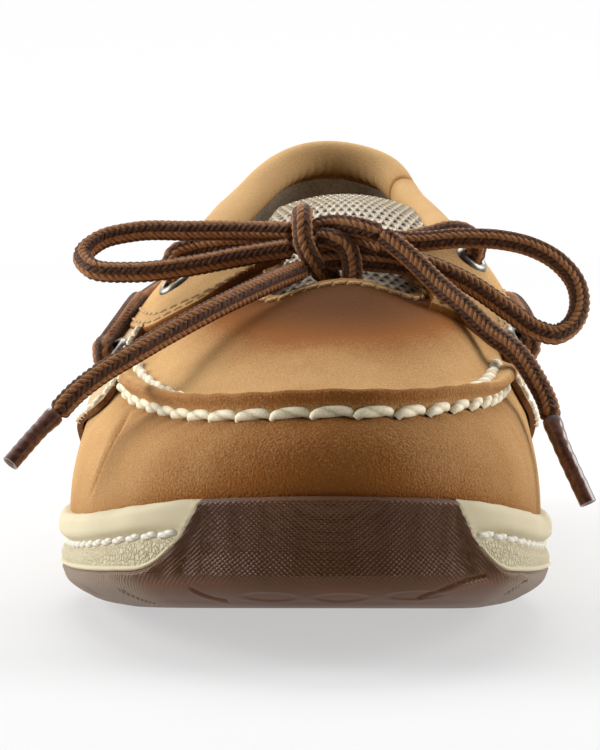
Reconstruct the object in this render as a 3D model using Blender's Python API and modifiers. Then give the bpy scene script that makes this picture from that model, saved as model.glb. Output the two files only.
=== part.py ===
"""A boat shoe for the right foot, laced with a bow and standing empty on its sole.

+Z is up, the toe points along -Y and the medial side faces +X.  The origin is the middle of the
sole's footprint, on the floor.  The tables hold shares of the named sizes: "at" is a share of
LENGTH from the back of the heel, "out" a share of BALL_WIDTH to the medial side of the shoe's
line, and "rise" a share of UPPER_RISE above the sole's top edge.
"""

import math
from collections import namedtuple

import bmesh
import bpy
import numpy as np
from mathutils import Vector

# Driving sizes, in metres
LENGTH = 0.258
BALL_WIDTH = 0.094
HEEL_RIM = 0.027
UPPER_RISE = 0.051
TOE_SPRING = 0.0115
ARCH_RISE = 0.0015
HEEL_BEVEL = 0.0025
OUTSOLE_THICKNESS = 0.0078
WALL = 0.002
RIDGE_HEIGHT = 0.0042
FEATHER_INSET = 0.002
INSOLE_THICKNESS = 0.003
TONGUE_THICKNESS = 0.0028
COLLAR_WIDTH = 0.0066
COLLAR_HEIGHT = 0.0080
COLLAR_END = 6.8
LACE_DIAMETER = 0.0042
AGLET_DIAMETER = 0.0036
EYELET_RADIUS = 0.0029
EYELET_WIRE = 0.0009
GROOVE_WIDTH = 0.0022
GROOVE_DEPTH = 0.0018
GAP = 0.0003

# Sections round the upper: heel, lateral side, toe, medial side.  The first pair of columns is
# the sole's outline, the next three the shoulder or apron seam, the next three the top edge, and
# the crown is how far the leather arches between the last two.
Section = namedtuple(
    "Section", "at out seam_at seam_out seam_rise top_at top_out top_rise crown"
)
SECTIONS = [
    Section(0.000, 0.000, 0.006, 0.000, 0.45, 0.027, 0.000, 1.00, 0.028),
    Section(0.019, -0.202, 0.023, -0.186, 0.45, 0.050, -0.149, 0.96, 0.035),
    Section(0.085, -0.324, 0.089, -0.319, 0.44, 0.109, -0.245, 0.84, 0.035),
    Section(0.186, -0.362, 0.186, -0.360, 0.42, 0.194, -0.298, 0.78, 0.028),
    Section(0.295, -0.378, 0.295, -0.379, 0.42, 0.295, -0.340, 0.72, 0.020),
    Section(0.399, -0.415, 0.399, -0.410, 0.45, 0.399, -0.365, 0.73, 0.020),
    Section(0.504, -0.479, 0.500, -0.457, 0.48, 0.480, -0.325, 0.83, 0.030),
    Section(0.566, -0.524, 0.558, -0.477, 0.51, 0.530, -0.215, 0.97, 0.04),
    Section(0.612, -0.548, 0.605, -0.474, 0.52, 0.570, -0.133, 0.95, 0.05),
    Section(0.671, -0.565, 0.663, -0.442, 0.48, 0.609, -0.128, 0.88, 0.06),
    Section(0.744, -0.550, 0.729, -0.410, 0.42, 0.640, -0.154, 0.82, 0.06),
    Section(0.818, -0.510, 0.795, -0.362, 0.37, 0.659, -0.128, 0.76, 0.05),
    Section(0.893, -0.432, 0.865, -0.290, 0.31, 0.664, -0.080, 0.71, 0.04),
    Section(0.959, -0.278, 0.925, -0.180, 0.26, 0.667, -0.032, 0.64, 0.03),
    Section(1.000, -0.010, 0.955, 0.003, 0.25, 0.667, 0.016, 0.60, 0.03),
    Section(0.971, 0.206, 0.936, 0.138, 0.27, 0.667, 0.064, 0.63, 0.03),
    Section(0.922, 0.324, 0.886, 0.234, 0.32, 0.663, 0.106, 0.68, 0.04),
    Section(0.840, 0.395, 0.808, 0.296, 0.39, 0.655, 0.149, 0.75, 0.05),
    Section(0.750, 0.427, 0.732, 0.326, 0.45, 0.636, 0.165, 0.82, 0.06),
    Section(0.682, 0.426, 0.671, 0.351, 0.50, 0.609, 0.138, 0.90, 0.06),
    Section(0.620, 0.402, 0.612, 0.378, 0.56, 0.570, 0.133, 0.95, 0.05),
    Section(0.558, 0.362, 0.554, 0.381, 0.60, 0.535, 0.215, 0.98, 0.04),
    Section(0.488, 0.319, 0.488, 0.360, 0.58, 0.484, 0.290, 0.85, 0.025),
    Section(0.399, 0.293, 0.399, 0.324, 0.52, 0.399, 0.319, 0.73, 0.018),
    Section(0.298, 0.303, 0.298, 0.309, 0.47, 0.298, 0.287, 0.73, 0.018),
    Section(0.194, 0.335, 0.194, 0.314, 0.45, 0.194, 0.250, 0.77, 0.028),
    Section(0.093, 0.314, 0.093, 0.293, 0.44, 0.109, 0.207, 0.82, 0.035),
    Section(0.019, 0.197, 0.023, 0.181, 0.45, 0.050, 0.144, 0.93, 0.035),
]

# The sole's top edge along the shoe, as shares of LENGTH and HEEL_RIM
Rim = namedtuple("Rim", "at height")
RIMS = [
    Rim(0.00, 1.00),
    Rim(0.10, 0.98),
    Rim(0.20, 0.935),
    Rim(0.30, 0.89),
    Rim(0.40, 0.825),
    Rim(0.50, 0.755),
    Rim(0.60, 0.705),
    Rim(0.67, 0.69),
    Rim(0.74, 0.72),
    Rim(0.82, 0.80),
    Rim(0.89, 0.91),
    Rim(0.95, 1.035),
    Rim(1.00, 1.12),
]

# The sole's side, from the floor upwards and from the top edge downwards, in metres
Side = namedtuple("Side", "height inset")
LOWER_SIDE = [
    Side(0.0000, 0.0120),
    Side(0.0007, 0.0085),
    Side(0.0022, 0.0050),
    Side(0.0043, 0.0019),
    Side(0.0072, 0.0004),
]
UPPER_SIDE = [
    Side(-0.0092, 0.0004),
    Side(-0.0068, 0.0007),
    Side(-0.0061, 0.0014),
    Side(-0.0050, 0.0014),
    Side(-0.0042, 0.0003),
    Side(-0.0022, -0.0001),
    Side(-0.0007, 0.0002),
    Side(0.0000, 0.0009),
]

# Shares of LENGTH where the sole lies flat, and where the toe bumper rises to the upper
HEEL_FLAT = (0.03, 0.29)
BALL_FLAT = (0.55, 0.66)
BUMPER_START = 0.915
BUMPER_FULL = 0.969
BUMPER_POWER = 2.6
TOE_THINNING = 0.18
SPRING_POWER = 1.2

# Wave grooves that part the main lugs, as shares of LENGTH
HEEL_GROOVES = (0.08, 0.145, 0.21)
BALL_GROOVES = (0.575, 0.64, 0.705, 0.77, 0.835)
GROOVE_WAVE = 0.0035
GROOVE_WAVELENGTH = 0.022
GROOVE_MARGIN = 0.014

# The tongue, front to back: the middle's rise, and its half width as a share of the room between
# the collar's two sides; its middle line and the arch's radius are shares of BALL_WIDTH
Fold = namedtuple("Fold", "at rise half")
TONGUE_FOLDS = [
    Fold(0.765, 0.58, 0.22),
    Fold(0.715, 0.67, 0.245),
    Fold(0.668, 0.755, 0.255),
    Fold(0.620, 0.82, 0.255),
    Fold(0.580, 0.895, 0.245),
    Fold(0.545, 0.985, 0.22),
    Fold(0.515, 1.075, 0.2),
    Fold(0.500, 1.115, 0.17),
]
TONGUE_MIDDLE = 0.085
TONGUE_ARCH = 0.36

# Eyelets, as a place between two sections and a share of the way from shoulder to top edge
Seat = namedtuple("Seat", "section share")
FRONT_EYELETS = {"lateral": Seat(7.25, 0.58), "medial": Seat(20.80, 0.64)}
SIDE_EYELETS = {"lateral": Seat(8.20, 0.04), "medial": Seat(19.95, 0.05)}

# The side lace from the lateral side eyelet round the heel to the medial one
SIDE_LACE = [
    Seat(7.82, 0.05),
    Seat(7.0, 0.24),
    Seat(6.0, 0.46),
    Seat(5.0, 0.60),
    Seat(4.0, 0.66),
    Seat(3.0, 0.68),
    Seat(2.0, 0.70),
    Seat(1.0, 0.72),
    Seat(0.0, 0.72),
    Seat(-1.0, 0.72),
    Seat(-2.0, 0.70),
    Seat(-3.0, 0.68),
    Seat(-4.0, 0.66),
    Seat(-5.0, 0.58),
    Seat(-6.0, 0.44),
    Seat(-7.0, 0.20),
    Seat(-7.75, 0.05),
]
SIDE_LACE_STEPS = 30
SIDE_LACE_GAP = 0.0008
CORD_SPACING = 0.0084

# The bow's routes, in metres, as tied on this shoe
KNOT_CENTRE = (0.0059, -0.0303, 0.0695)
KNOT_RADII = (0.0080, 0.0050, 0.0070)
BAR_ROUTE = [
    (-0.0224, -0.0152, 0.0672),
    (-0.0160, -0.0178, 0.0684),
    (-0.0060, -0.0215, 0.0688),
    (0.0070, -0.0226, 0.0684),
    (0.0200, -0.0215, 0.0688),
    (0.0252, -0.0190, 0.0698),
    (0.0282, -0.0170, 0.0704),
]
LATERAL_LOOP_ROUTE = [
    (-0.0021, -0.0272, 0.0708),
    (-0.0126, -0.0240, 0.0709),
    (-0.0232, -0.0225, 0.0708),
    (-0.0337, -0.0220, 0.0706),
    (-0.0405, -0.0235, 0.0690),
    (-0.0436, -0.0275, 0.0662),
    (-0.0416, -0.0320, 0.0638),
    (-0.0334, -0.0340, 0.0632),
    (-0.0230, -0.0335, 0.0643),
    (-0.0125, -0.0325, 0.0662),
    (-0.0023, -0.0319, 0.0678),
]
MEDIAL_LOOP_ROUTE = [
    (0.0141, -0.0274, 0.0696),
    (0.0200, -0.0270, 0.0689),
    (0.0314, -0.0260, 0.0695),
    (0.0384, -0.0260, 0.0692),
    (0.0448, -0.0265, 0.0677),
    (0.0497, -0.0280, 0.0650),
    (0.0532, -0.0300, 0.0606),
    (0.0536, -0.0325, 0.0560),
    (0.0516, -0.0350, 0.0526),
    (0.0486, -0.0365, 0.0513),
    (0.0454, -0.0370, 0.0521),
    (0.0396, -0.0372, 0.0560),
    (0.0328, -0.0370, 0.0607),
    (0.0258, -0.0360, 0.0640),
    (0.0200, -0.0345, 0.0658),
    (0.0143, -0.0330, 0.0669),
]
LATERAL_END_ROUTE = [
    (-0.0005, -0.0375, 0.0640),
    (-0.0085, -0.0510, 0.0613),
    (-0.0182, -0.0640, 0.0572),
    (-0.0262, -0.0720, 0.0532),
    (-0.0308, -0.0770, 0.0507),
    (-0.0369, -0.0820, 0.0472),
    (-0.0412, -0.0855, 0.0439),
    (-0.0443, -0.0875, 0.0406),
]
MEDIAL_END_ROUTE = [
    (0.0150, -0.0372, 0.0708),
    (0.0206, -0.0410, 0.0664),
    (0.0257, -0.0450, 0.0615),
    (0.0307, -0.0500, 0.0574),
    (0.0358, -0.0550, 0.0527),
    (0.0406, -0.0600, 0.0491),
    (0.0434, -0.0640, 0.0450),
    (0.0456, -0.0675, 0.0404),
    (0.0461, -0.0695, 0.0380),
]
AGLET_TIPS = {"lateral": (-0.0522, -0.0930, 0.0321), "medial": (0.0526, -0.0760, 0.0230)}

# How finely the forms are cut into faces
AROUND = 72
SOLE_STATIONS = 34
COLLAR_SIDES = 8
WALL_STEPS = (0.0, 0.18, 0.38, 0.6, 0.82, 1.0)
RIDGE_STEPS = ((0.0007, 0.75), (0.0017, 1.0), (0.0030, 0.85), (0.0055, 0.25))
APRON_STEPS = (0.25, 0.4, 0.55, 0.7, 0.85, 1.0)
WALL_TURN = math.radians(75)


def closed_curve(points, knots, where):
    """Smooth closed curve through points at knots from 0 to 1, read at the places in where."""
    points = np.asarray(points, float)
    count = len(points)
    span = np.diff(np.append(knots, 1.0))
    system = np.zeros((count, count))
    pull = np.zeros_like(points)
    for i in range(count):
        after = (i + 1) % count
        system[i, i - 1] += span[i - 1]
        system[i, i] += 2 * (span[i - 1] + span[i])
        system[i, after] += span[i]
        ahead = (points[after] - points[i]) / span[i]
        behind = (points[i] - points[i - 1]) / span[i - 1]
        pull[i] = 6 * (ahead - behind)
    bend = np.linalg.solve(system, pull)
    where = np.mod(where, 1.0)
    first = np.clip(np.searchsorted(knots, where, side="right") - 1, 0, count - 1)
    second = (first + 1) % count
    step = span[first][:, None]
    along = (where - knots[first])[:, None] / step
    back = 1 - along
    curve = back * points[first] + along * points[second]
    curve += step**2 / 6 * ((back**3 - back) * bend[first] + (along**3 - along) * bend[second])
    return curve


def open_curve(points, knots, where):
    """Smooth open curve (Catmull-Rom) through points at rising knots."""
    points = np.asarray(points, float)
    slopes = np.gradient(points, knots, axis=0)
    first = np.clip(np.searchsorted(knots, where, side="right") - 1, 0, len(knots) - 2)
    step = (knots[first + 1] - knots[first])[:, None]
    t = (where - knots[first])[:, None] / step
    curve = (2 * t**3 - 3 * t**2 + 1) * points[first]
    curve += (t**3 - 2 * t**2 + t) * step * slopes[first]
    curve += (3 * t**2 - 2 * t**3) * points[first + 1]
    curve += (t**3 - t**2) * step * slopes[first + 1]
    return curve


def ease(value):
    """Smooth step from 0 to 1."""
    value = np.clip(value, 0.0, 1.0)
    return value * value * (3 - 2 * value)


def rim_height(at):
    """Height of the sole's top edge."""
    rows = np.array(RIMS)
    knots = rows[:, 0]
    return open_curve(rows[:, 1:] * HEEL_RIM, knots, np.clip(at, 0.0, 1.0))[:, 0]


def ground_height(at):
    """Height of the sole's underside: bevelled heel, arch and toe spring."""
    at = np.clip(at, 0.0, 1.0)
    heel = np.clip(1 - at / HEEL_FLAT[0], 0, 1) ** 2 * HEEL_BEVEL
    waist = np.clip((at - HEEL_FLAT[1]) / (BALL_FLAT[0] - HEEL_FLAT[1]), 0, 1)
    arch = np.sin(waist * math.pi) ** 2 * ARCH_RISE
    toe = np.clip((at - BALL_FLAT[1]) / (1 - BALL_FLAT[1]), 0, 1) ** SPRING_POWER * TOE_SPRING
    return heel + arch + toe


def outsole_top(at):
    """Height where the rubber outsole meets the midsole; it climbs over the rim at the toe."""
    climb = np.clip((at - BUMPER_START) / (BUMPER_FULL - BUMPER_START), 0, 1) ** BUMPER_POWER
    thinning = 1 - TOE_THINNING * ease((at - BALL_FLAT[1]) / (BUMPER_START - BALL_FLAT[1]))
    plain = ground_height(at) + OUTSOLE_THICKNESS * thinning
    return plain + climb * (rim_height(at) + GROOVE_DEPTH - plain)


class Last:
    """The shoe's form, as closed curves round it that all share one parameter."""

    def __init__(self):
        rows = np.array(SECTIONS)
        outline = rows[:, [1, 0]] * (BALL_WIDTH, LENGTH)
        steps = np.linalg.norm(np.diff(outline, axis=0, append=outline[:1]), axis=1)
        self.knots = np.concatenate(([0.0], np.cumsum(steps)[:-1])) / steps.sum()
        self.outline_rows = outline
        fine = closed_curve(outline, self.knots, np.arange(720) / 720)
        self.middle = (fine[:, 0].min() + fine[:, 0].max()) / 2
        rim = rim_height(rows[:, 0])
        self.seam_rows = self.place(rows[:, 3], rows[:, 2], rim + rows[:, 4] * UPPER_RISE)
        self.top_rows = self.place(rows[:, 6], rows[:, 5], rim + rows[:, 7] * UPPER_RISE)
        self.crown_rows = rows[:, 8:9] * UPPER_RISE

    def place(self, out, at, height):
        """Frame coordinates of points given as shares and a height."""
        return np.column_stack([out * BALL_WIDTH - self.middle, LENGTH * (0.5 - at), height])

    def at_section(self, section):
        """Parameter of a place between two sections; negative ones count back from the heel."""
        knots = np.append(self.knots, 1.0)
        return np.interp(np.mod(section, len(SECTIONS)), np.arange(len(knots)), knots)

    def plan(self, u, inset):
        """Sole outline drawn in by inset, as frame X and Y, and its share of the length."""
        here = closed_curve(self.outline_rows, self.knots, u)
        ahead = closed_curve(self.outline_rows, self.knots, u + 0.002)
        behind = closed_curve(self.outline_rows, self.knots, u - 0.002)
        run = ahead - behind
        inward = np.column_stack([-run[:, 1], run[:, 0]])
        inward /= -np.linalg.norm(inward, axis=1)[:, None]
        here = here + inward * np.reshape(inset, (-1, 1))
        return here[:, 0] - self.middle, LENGTH / 2 - here[:, 1], here[:, 1] / LENGTH

    def feather(self, u):
        """Lower edge of the upper, where it meets the sole."""
        x, y, at = self.plan(u, FEATHER_INSET)
        return np.column_stack([x, y, rim_height(at) + GAP])

    def seam(self, u):
        return closed_curve(self.seam_rows, self.knots, u)

    def top(self, u):
        return closed_curve(self.top_rows, self.knots, u)

    def side_wall(self, u, share):
        """Point on the wall, a quarter round from the feather edge to the shoulder."""
        low, high = self.feather(u), self.seam(u)
        turn = WALL_TURN * share
        lean = (1 - math.cos(turn)) / (1 - math.cos(WALL_TURN))
        climb = math.sin(turn) / math.sin(WALL_TURN)
        return low + (high - low) * (lean, lean, climb)

    def crowned(self, u, share):
        """Point between shoulder and top edge, arched outwards by the crown."""
        low, high = self.seam(u), self.top(u)
        share = np.reshape(share, (-1, 1))
        crown = closed_curve(self.crown_rows, self.knots, u)
        chord = high - low
        length = np.linalg.norm(chord, axis=1)[:, None]
        run = np.linalg.norm(chord[:, :2], axis=1)[:, None]
        outward = np.column_stack([-chord[:, :2] / run * chord[:, 2:], run]) / length
        return low + chord * share + outward * crown * 4 * share * (1 - share)

    def reach(self, u):
        """Distance from shoulder to top edge."""
        return np.linalg.norm(self.top(u) - self.seam(u), axis=1)

    def ridge(self, u):
        """How strongly the raised apron seam shows, from 0 at the sides to 1 round the toe."""
        at = 0.5 - self.seam(u)[:, 1] / LENGTH
        return ease((at - 0.665) / 0.065)

    def normal(self, u, share):
        """Outward direction of the crowned surface."""
        across = self.crowned(u, share + 0.02) - self.crowned(u, share - 0.02)
        round_ = self.crowned(u + 0.003, share) - self.crowned(u - 0.003, share)
        normal = np.cross(round_, across)
        return normal / np.linalg.norm(normal, axis=1)[:, None]


def material(name, colour, roughness, metallic=0.0):
    """Plain Principled material."""
    made = bpy.data.materials.new(name)
    made.use_nodes = True
    shader = made.node_tree.nodes["Principled BSDF"]
    shader.inputs["Base Color"].default_value = (*colour, 1.0)
    shader.inputs["Roughness"].default_value = roughness
    shader.inputs["Metallic"].default_value = metallic
    return made


def add_object(name, mesh, finish, collection):
    """Link a mesh as a named object with its material, shaded smooth but for its edges."""
    made = bpy.data.objects.new(name, mesh)
    collection.objects.link(made)
    mesh.materials.append(finish)
    mesh.shade_smooth()
    mesh.set_sharp_from_angle(angle=math.radians(40))
    return made


def closed_mesh(name, points, faces):
    """Mesh from points and faces with its normals made to point out."""
    mesh = bpy.data.meshes.new(name)
    mesh.from_pydata([tuple(map(float, point)) for point in points], [], faces)
    work = bmesh.new()
    work.from_mesh(mesh)
    bmesh.ops.recalc_face_normals(work, faces=work.faces)
    work.to_mesh(mesh)
    work.free()
    return mesh


def ring_faces(first, second, count, closed=True):
    """Quads between two rings of points that start at the given indices."""
    last = count if closed else count - 1
    return [
        (first + i, first + (i + 1) % count, second + (i + 1) % count, second + i)
        for i in range(last)
    ]


def cap_faces(start, stations):
    """Faces across a ring that runs heel, lateral stations, toe, medial stations."""
    count = 2 * stations + 2
    left = [start + 1 + i for i in range(stations)]
    right = [start + count - 1 - i for i in range(stations)]
    faces = [(start, left[0], right[0]), (start + stations + 1, right[-1], left[-1])]
    for i in range(stations - 1):
        faces.append((left[i], left[i + 1], right[i + 1], right[i]))
    return faces


def sole_parameters(last):
    """Parameters of outline points that pair up across the sole at equal shares of its length."""
    u = np.arange(720) / 720
    at = closed_curve(last.outline_rows, last.knots, u)[:, 1] / LENGTH
    heel, toe = int(np.argmin(at)), int(np.argmax(at))
    turn = np.arange(SOLE_STATIONS + 2)[1:-1] / (SOLE_STATIONS + 1)
    stations = (1 - np.cos(turn * math.pi)) / 2
    stations = at[heel] + (at[toe] - at[heel]) * stations
    order = np.roll(np.arange(720), -heel)
    split = (toe - heel) % 720
    lateral, medial = order[: split + 1], order[split:]
    u_lateral = np.interp(stations, at[lateral], u[0] + np.unwrap(u[lateral], period=1))
    u_medial = np.interp(stations, at[medial][::-1], np.unwrap(u[medial], period=1)[::-1])
    return np.concatenate([[u[heel]], u_lateral, [u[toe]], u_medial[::-1]])


def stacked_rings(rings, stations):
    """Closed mesh data from rings of plan-paired points, capped at both ends."""
    count = 2 * stations + 2
    points = np.concatenate(rings)
    faces = cap_faces(0, stations) + cap_faces((len(rings) - 1) * count, stations)
    for i in range(len(rings) - 1):
        faces += ring_faces(i * count, (i + 1) * count, count)
    return points, faces


def sole_body(last):
    """Whole sole before it is parted: rounded tread edge, stitched groove and proud rib."""
    u = sole_parameters(last)
    at_edge = last.plan(u, 0.0)[2]
    bumper = ease((at_edge - BUMPER_START) / (BUMPER_FULL - BUMPER_START))
    rings = []
    for side in LOWER_SIDE:
        x, y, at = last.plan(u, side.inset)
        rings.append(np.column_stack([x, y, ground_height(at) + side.height]))
    for side in UPPER_SIDE:
        plain = 0.0006 * (1 + side.height / UPPER_SIDE[0].height)
        x, y, at = last.plan(u, side.inset * (1 - bumper) + plain * bumper)
        rings.append(np.column_stack([x, y, rim_height(at) + side.height]))
    return closed_mesh("sole", *stacked_rings(rings, SOLE_STATIONS))


def parting_cutter(name, shift, collection):
    """Solid that fills everything under the line where outsole and midsole meet."""
    at = np.concatenate([np.linspace(-0.05, BUMPER_START, 24), np.linspace(BUMPER_START, 1.0, 16)[1:]])
    height = outsole_top(at) + shift
    at = at - np.where(at > BUMPER_START, shift / LENGTH, 0.0)
    height[at > BUMPER_FULL] = HEEL_RIM * 2
    line = [(LENGTH * (0.5 - a), z) for a, z in zip(at, height)]
    line.append((-LENGTH * 0.6, HEEL_RIM * 2))
    line.append((-LENGTH * 0.6, -HEEL_RIM))
    line.append((LENGTH * 0.55, -HEEL_RIM))
    points = [(side * BALL_WIDTH, y, z) for side in (-1, 1) for y, z in line]
    count = len(line)
    faces = ring_faces(0, count, count)
    faces += [tuple(range(count)), tuple(range(2 * count - 1, count - 1, -1))]
    return add_cutter(closed_mesh(name, points, faces), name, collection)


def add_cutter(mesh, name, collection):
    """Link a cutter, which is never part of the shoe."""
    cutter = bpy.data.objects.new(name, mesh)
    collection.objects.link(cutter)
    cutter.hide_render = True
    cutter.display_type = "WIRE"
    return cutter


def groove_cutter(last, collection):
    """Wave grooves across heel and ball, kept clear of the sole's edge, as one cutter."""
    u = sole_parameters(last)
    x, y, at = last.plan(u, 0.0)
    lateral = slice(1, SOLE_STATIONS + 1)
    medial = slice(SOLE_STATIONS + 2, None)
    points, faces = [], []
    for place in HEEL_GROOVES + BALL_GROOVES:
        low = np.interp(place, at[lateral], x[lateral]) + GROOVE_MARGIN
        high = np.interp(place, at[medial][::-1], x[medial][::-1]) - GROOVE_MARGIN
        steps = max(6, int((high - low) / (GROOVE_WAVELENGTH / 6)))
        across = np.linspace(low, high, steps + 1)
        wave = np.sin(across / GROOVE_WAVELENGTH * 2 * math.pi) * GROOVE_WAVE
        middle = LENGTH * (0.5 - place) + wave
        floor = ground_height(0.5 - middle / LENGTH)
        start = len(points)
        for px, py, pz in zip(across, middle, floor):
            for dy, dz in ((-1, -2), (1, -2), (1, 1), (-1, 1)):
                points.append((px, py + dy * GROOVE_WIDTH / 2, pz + dz * GROOVE_DEPTH))
        for i in range(steps):
            faces += ring_faces(start + 4 * i, start + 4 * i + 4, 4)
        faces += [tuple(start + k for k in range(4)), tuple(start + 4 * steps + k for k in range(4))]
    return add_cutter(closed_mesh("grooves", points, faces), "grooves", collection)


def boolean(target, cutter, operation):
    """Cut or keep with the exact solver."""
    cut = target.modifiers.new(cutter.name, "BOOLEAN")
    cut.operation = operation
    cut.solver = "EXACT"
    cut.object = cutter


def add_sole(last, finishes, parts, cutters):
    """Outsole with toe bumper and lugs, and the midsole above it."""
    outsole = add_object("outsole", sole_body(last), finishes["rubber"], parts)
    boolean(outsole, parting_cutter("outsole_space", 0.0, cutters), "INTERSECT")
    boolean(outsole, groove_cutter(last, cutters), "DIFFERENCE")
    midsole = add_object("midsole", sole_body(last), finishes["cream"], parts)
    boolean(midsole, parting_cutter("midsole_space", GAP, cutters), "DIFFERENCE")


def add_insole(last, finishes, parts):
    """Footbed inside the upper, resting on the midsole."""
    u = sole_parameters(last)
    inset = FEATHER_INSET + WALL + 2 * GAP
    rings = []
    for height, extra in ((GAP, 0.0), (INSOLE_THICKNESS * 0.7, 0.0004), (INSOLE_THICKNESS, 0.0016)):
        x, y, at = last.plan(u, inset + extra)
        rings.append(np.column_stack([x, y, rim_height(at) + height]))
    add_object("insole", closed_mesh("insole", *stacked_rings(rings, SOLE_STATIONS)), finishes["suede"], parts)


def upper_grids(last):
    """Outer and inner faces of the upper as rows of points round the shoe."""
    u = np.arange(AROUND) / AROUND
    reach = last.reach(u)
    strength = last.ridge(u)
    outer, bare = [], []
    for share in WALL_STEPS:
        outer.append(last.side_wall(u, share))
        bare.append(outer[-1])
    room = np.minimum(1 / reach, APRON_STEPS[0] / RIDGE_STEPS[-1][0] * 0.8)
    for distance, lift in RIDGE_STEPS:
        share = distance * room
        bare.append(last.crowned(u, share))
        outward = last.normal(u, share)
        outer.append(bare[-1] + outward * (strength * lift * RIDGE_HEIGHT)[:, None])
    for share in APRON_STEPS:
        bare.append(last.crowned(u, np.full(AROUND, share)))
        outer.append(bare[-1])
    bare = np.array(bare)
    along = np.gradient(bare, axis=0)
    around = np.roll(bare, -1, axis=1) - np.roll(bare, 1, axis=1)
    inward = np.cross(along, around)
    inward /= np.linalg.norm(inward, axis=2)[..., None]
    inner = bare + inward * WALL
    inner[0, :, 2] = bare[0, :, 2]
    return np.array(outer), inner


def add_upper(last, finishes, parts):
    """Hollow upper with a real wall, open at the throat and collar and underneath."""
    outer, inner = upper_grids(last)
    rows = len(outer)
    points = np.concatenate([outer.reshape(-1, 3), inner.reshape(-1, 3)])
    inside = rows * AROUND
    faces = ring_faces(0, inside, AROUND)
    faces += ring_faces((rows - 1) * AROUND, inside + (rows - 1) * AROUND, AROUND)
    for i in range(rows - 1):
        faces += ring_faces(i * AROUND, (i + 1) * AROUND, AROUND)
        faces += ring_faces(inside + i * AROUND, inside + (i + 1) * AROUND, AROUND)
    return add_object("upper", closed_mesh("upper", points, faces), finishes["leather"], parts)


def add_collar(last, finishes, parts):
    """Padded roll on the upper's top edge, from one eyestay round the heel to the other."""
    start, end = last.at_section(-COLLAR_END) - 1.0, last.at_section(COLLAR_END)
    u = np.arange(-AROUND, AROUND) / AROUND
    u = u[(u >= start) & (u <= end)]
    edge = last.top(u)
    run = last.top(u + 0.003) - last.top(u - 0.003)
    inward = np.column_stack([-run[:, 1], run[:, 0], np.zeros(len(u))])
    inward /= np.linalg.norm(inward, axis=1)[:, None]
    upward = np.cross(inward, run)
    upward /= np.linalg.norm(upward, axis=1)[:, None] * np.sign(upward[:, 2:])
    taper = ease(np.minimum(u - start, end - u) / 0.08) * 0.68 + 0.32
    half_width = COLLAR_WIDTH / 2 * (0.6 + 0.4 * taper)
    half_height = COLLAR_HEIGHT / 2 * taper
    points = []
    for i in range(len(u)):
        centre = edge[i] + inward[i] * half_width[i] + upward[i] * (half_height[i] * 0.9 + GAP)
        for k in range(COLLAR_SIDES):
            turn = 2 * math.pi * k / COLLAR_SIDES
            side, rise = math.cos(turn), math.sin(turn)
            side = math.copysign(abs(side) ** 0.8, side) * half_width[i]
            rise = math.copysign(abs(rise) ** 0.8, rise) * half_height[i]
            points.append(centre + inward[i] * side + upward[i] * rise)
    faces = [tuple(range(COLLAR_SIDES))]
    faces.append(tuple((len(u) - 1) * COLLAR_SIDES + k for k in range(COLLAR_SIDES)))
    for i in range(len(u) - 1):
        faces += ring_faces(i * COLLAR_SIDES, (i + 1) * COLLAR_SIDES, COLLAR_SIDES)
    add_object("collar", closed_mesh("collar", points, faces), finishes["leather"], parts)


def add_tongue(last, finishes, parts):
    """Knitted tongue: an arched sheet that starts under the apron and stands above the laces."""
    rows = np.array(TONGUE_FOLDS)
    where = np.linspace(0, 1, 13)
    folds = open_curve(rows, np.linspace(0, 1, len(rows)), where)
    room = BALL_WIDTH - 2 * COLLAR_WIDTH
    arch = TONGUE_ARCH * BALL_WIDTH
    points = []
    for at, rise, half in folds:
        middle = rim_height(np.array([at]))[0] + rise * UPPER_RISE
        for k in np.linspace(-1, 1, 9):
            x = k * half * room
            drop = arch - math.sqrt(arch**2 - x**2)
            points.append((TONGUE_MIDDLE * BALL_WIDTH + x, LENGTH * (0.5 - at), middle - drop))
    faces = []
    for i in range(len(folds) - 1):
        faces += ring_faces(i * 9, (i + 1) * 9, 9, closed=False)
    mesh = bpy.data.meshes.new("tongue")
    mesh.from_pydata([tuple(map(float, p)) for p in points], [], faces)
    tongue = add_object("tongue", mesh, finishes["knit"], parts)
    if mesh.polygons[0].normal.z < 0:
        mesh.flip_normals()
    thick = tongue.modifiers.new("thickness", "SOLIDIFY")
    thick.thickness = TONGUE_THICKNESS
    thick.offset = -1.0


def seat_frame(last, seat, lift):
    """Point over the upper at a seat, and the outward direction there."""
    u = np.atleast_1d(last.at_section(seat.section))
    share = np.atleast_1d(seat.share)
    outward = last.normal(u, share)[0]
    return Vector(last.crowned(u, share)[0] + outward * lift), Vector(outward)


def add_eyelet(name, last, seat, finishes, parts):
    """Rolled metal ring lying on the leather."""
    centre, outward = seat_frame(last, seat, EYELET_WIRE + GAP * 1.5)
    bpy.ops.mesh.primitive_torus_add(
        major_radius=EYELET_RADIUS, minor_radius=EYELET_WIRE, major_segments=14, minor_segments=6
    )
    ring = bpy.context.object
    ring.name = name
    for collection in list(ring.users_collection):
        collection.objects.unlink(ring)
    parts.objects.link(ring)
    ring.data.materials.append(finishes["metal"])
    ring.data.shade_smooth()
    ring.location = centre
    ring.rotation_mode = "QUATERNION"
    ring.rotation_quaternion = outward.to_track_quat("Z", "Y")


def resampled(route):
    """Evenly spaced points on a smooth curve through a route."""
    route = np.asarray(route, float)
    knots = np.concatenate(([0.0], np.cumsum(np.linalg.norm(np.diff(route, axis=0), axis=1))))
    count = max(3, int(round(knots[-1] / CORD_SPACING)) + 1)
    return open_curve(route, knots, np.linspace(0, knots[-1], count))


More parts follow.
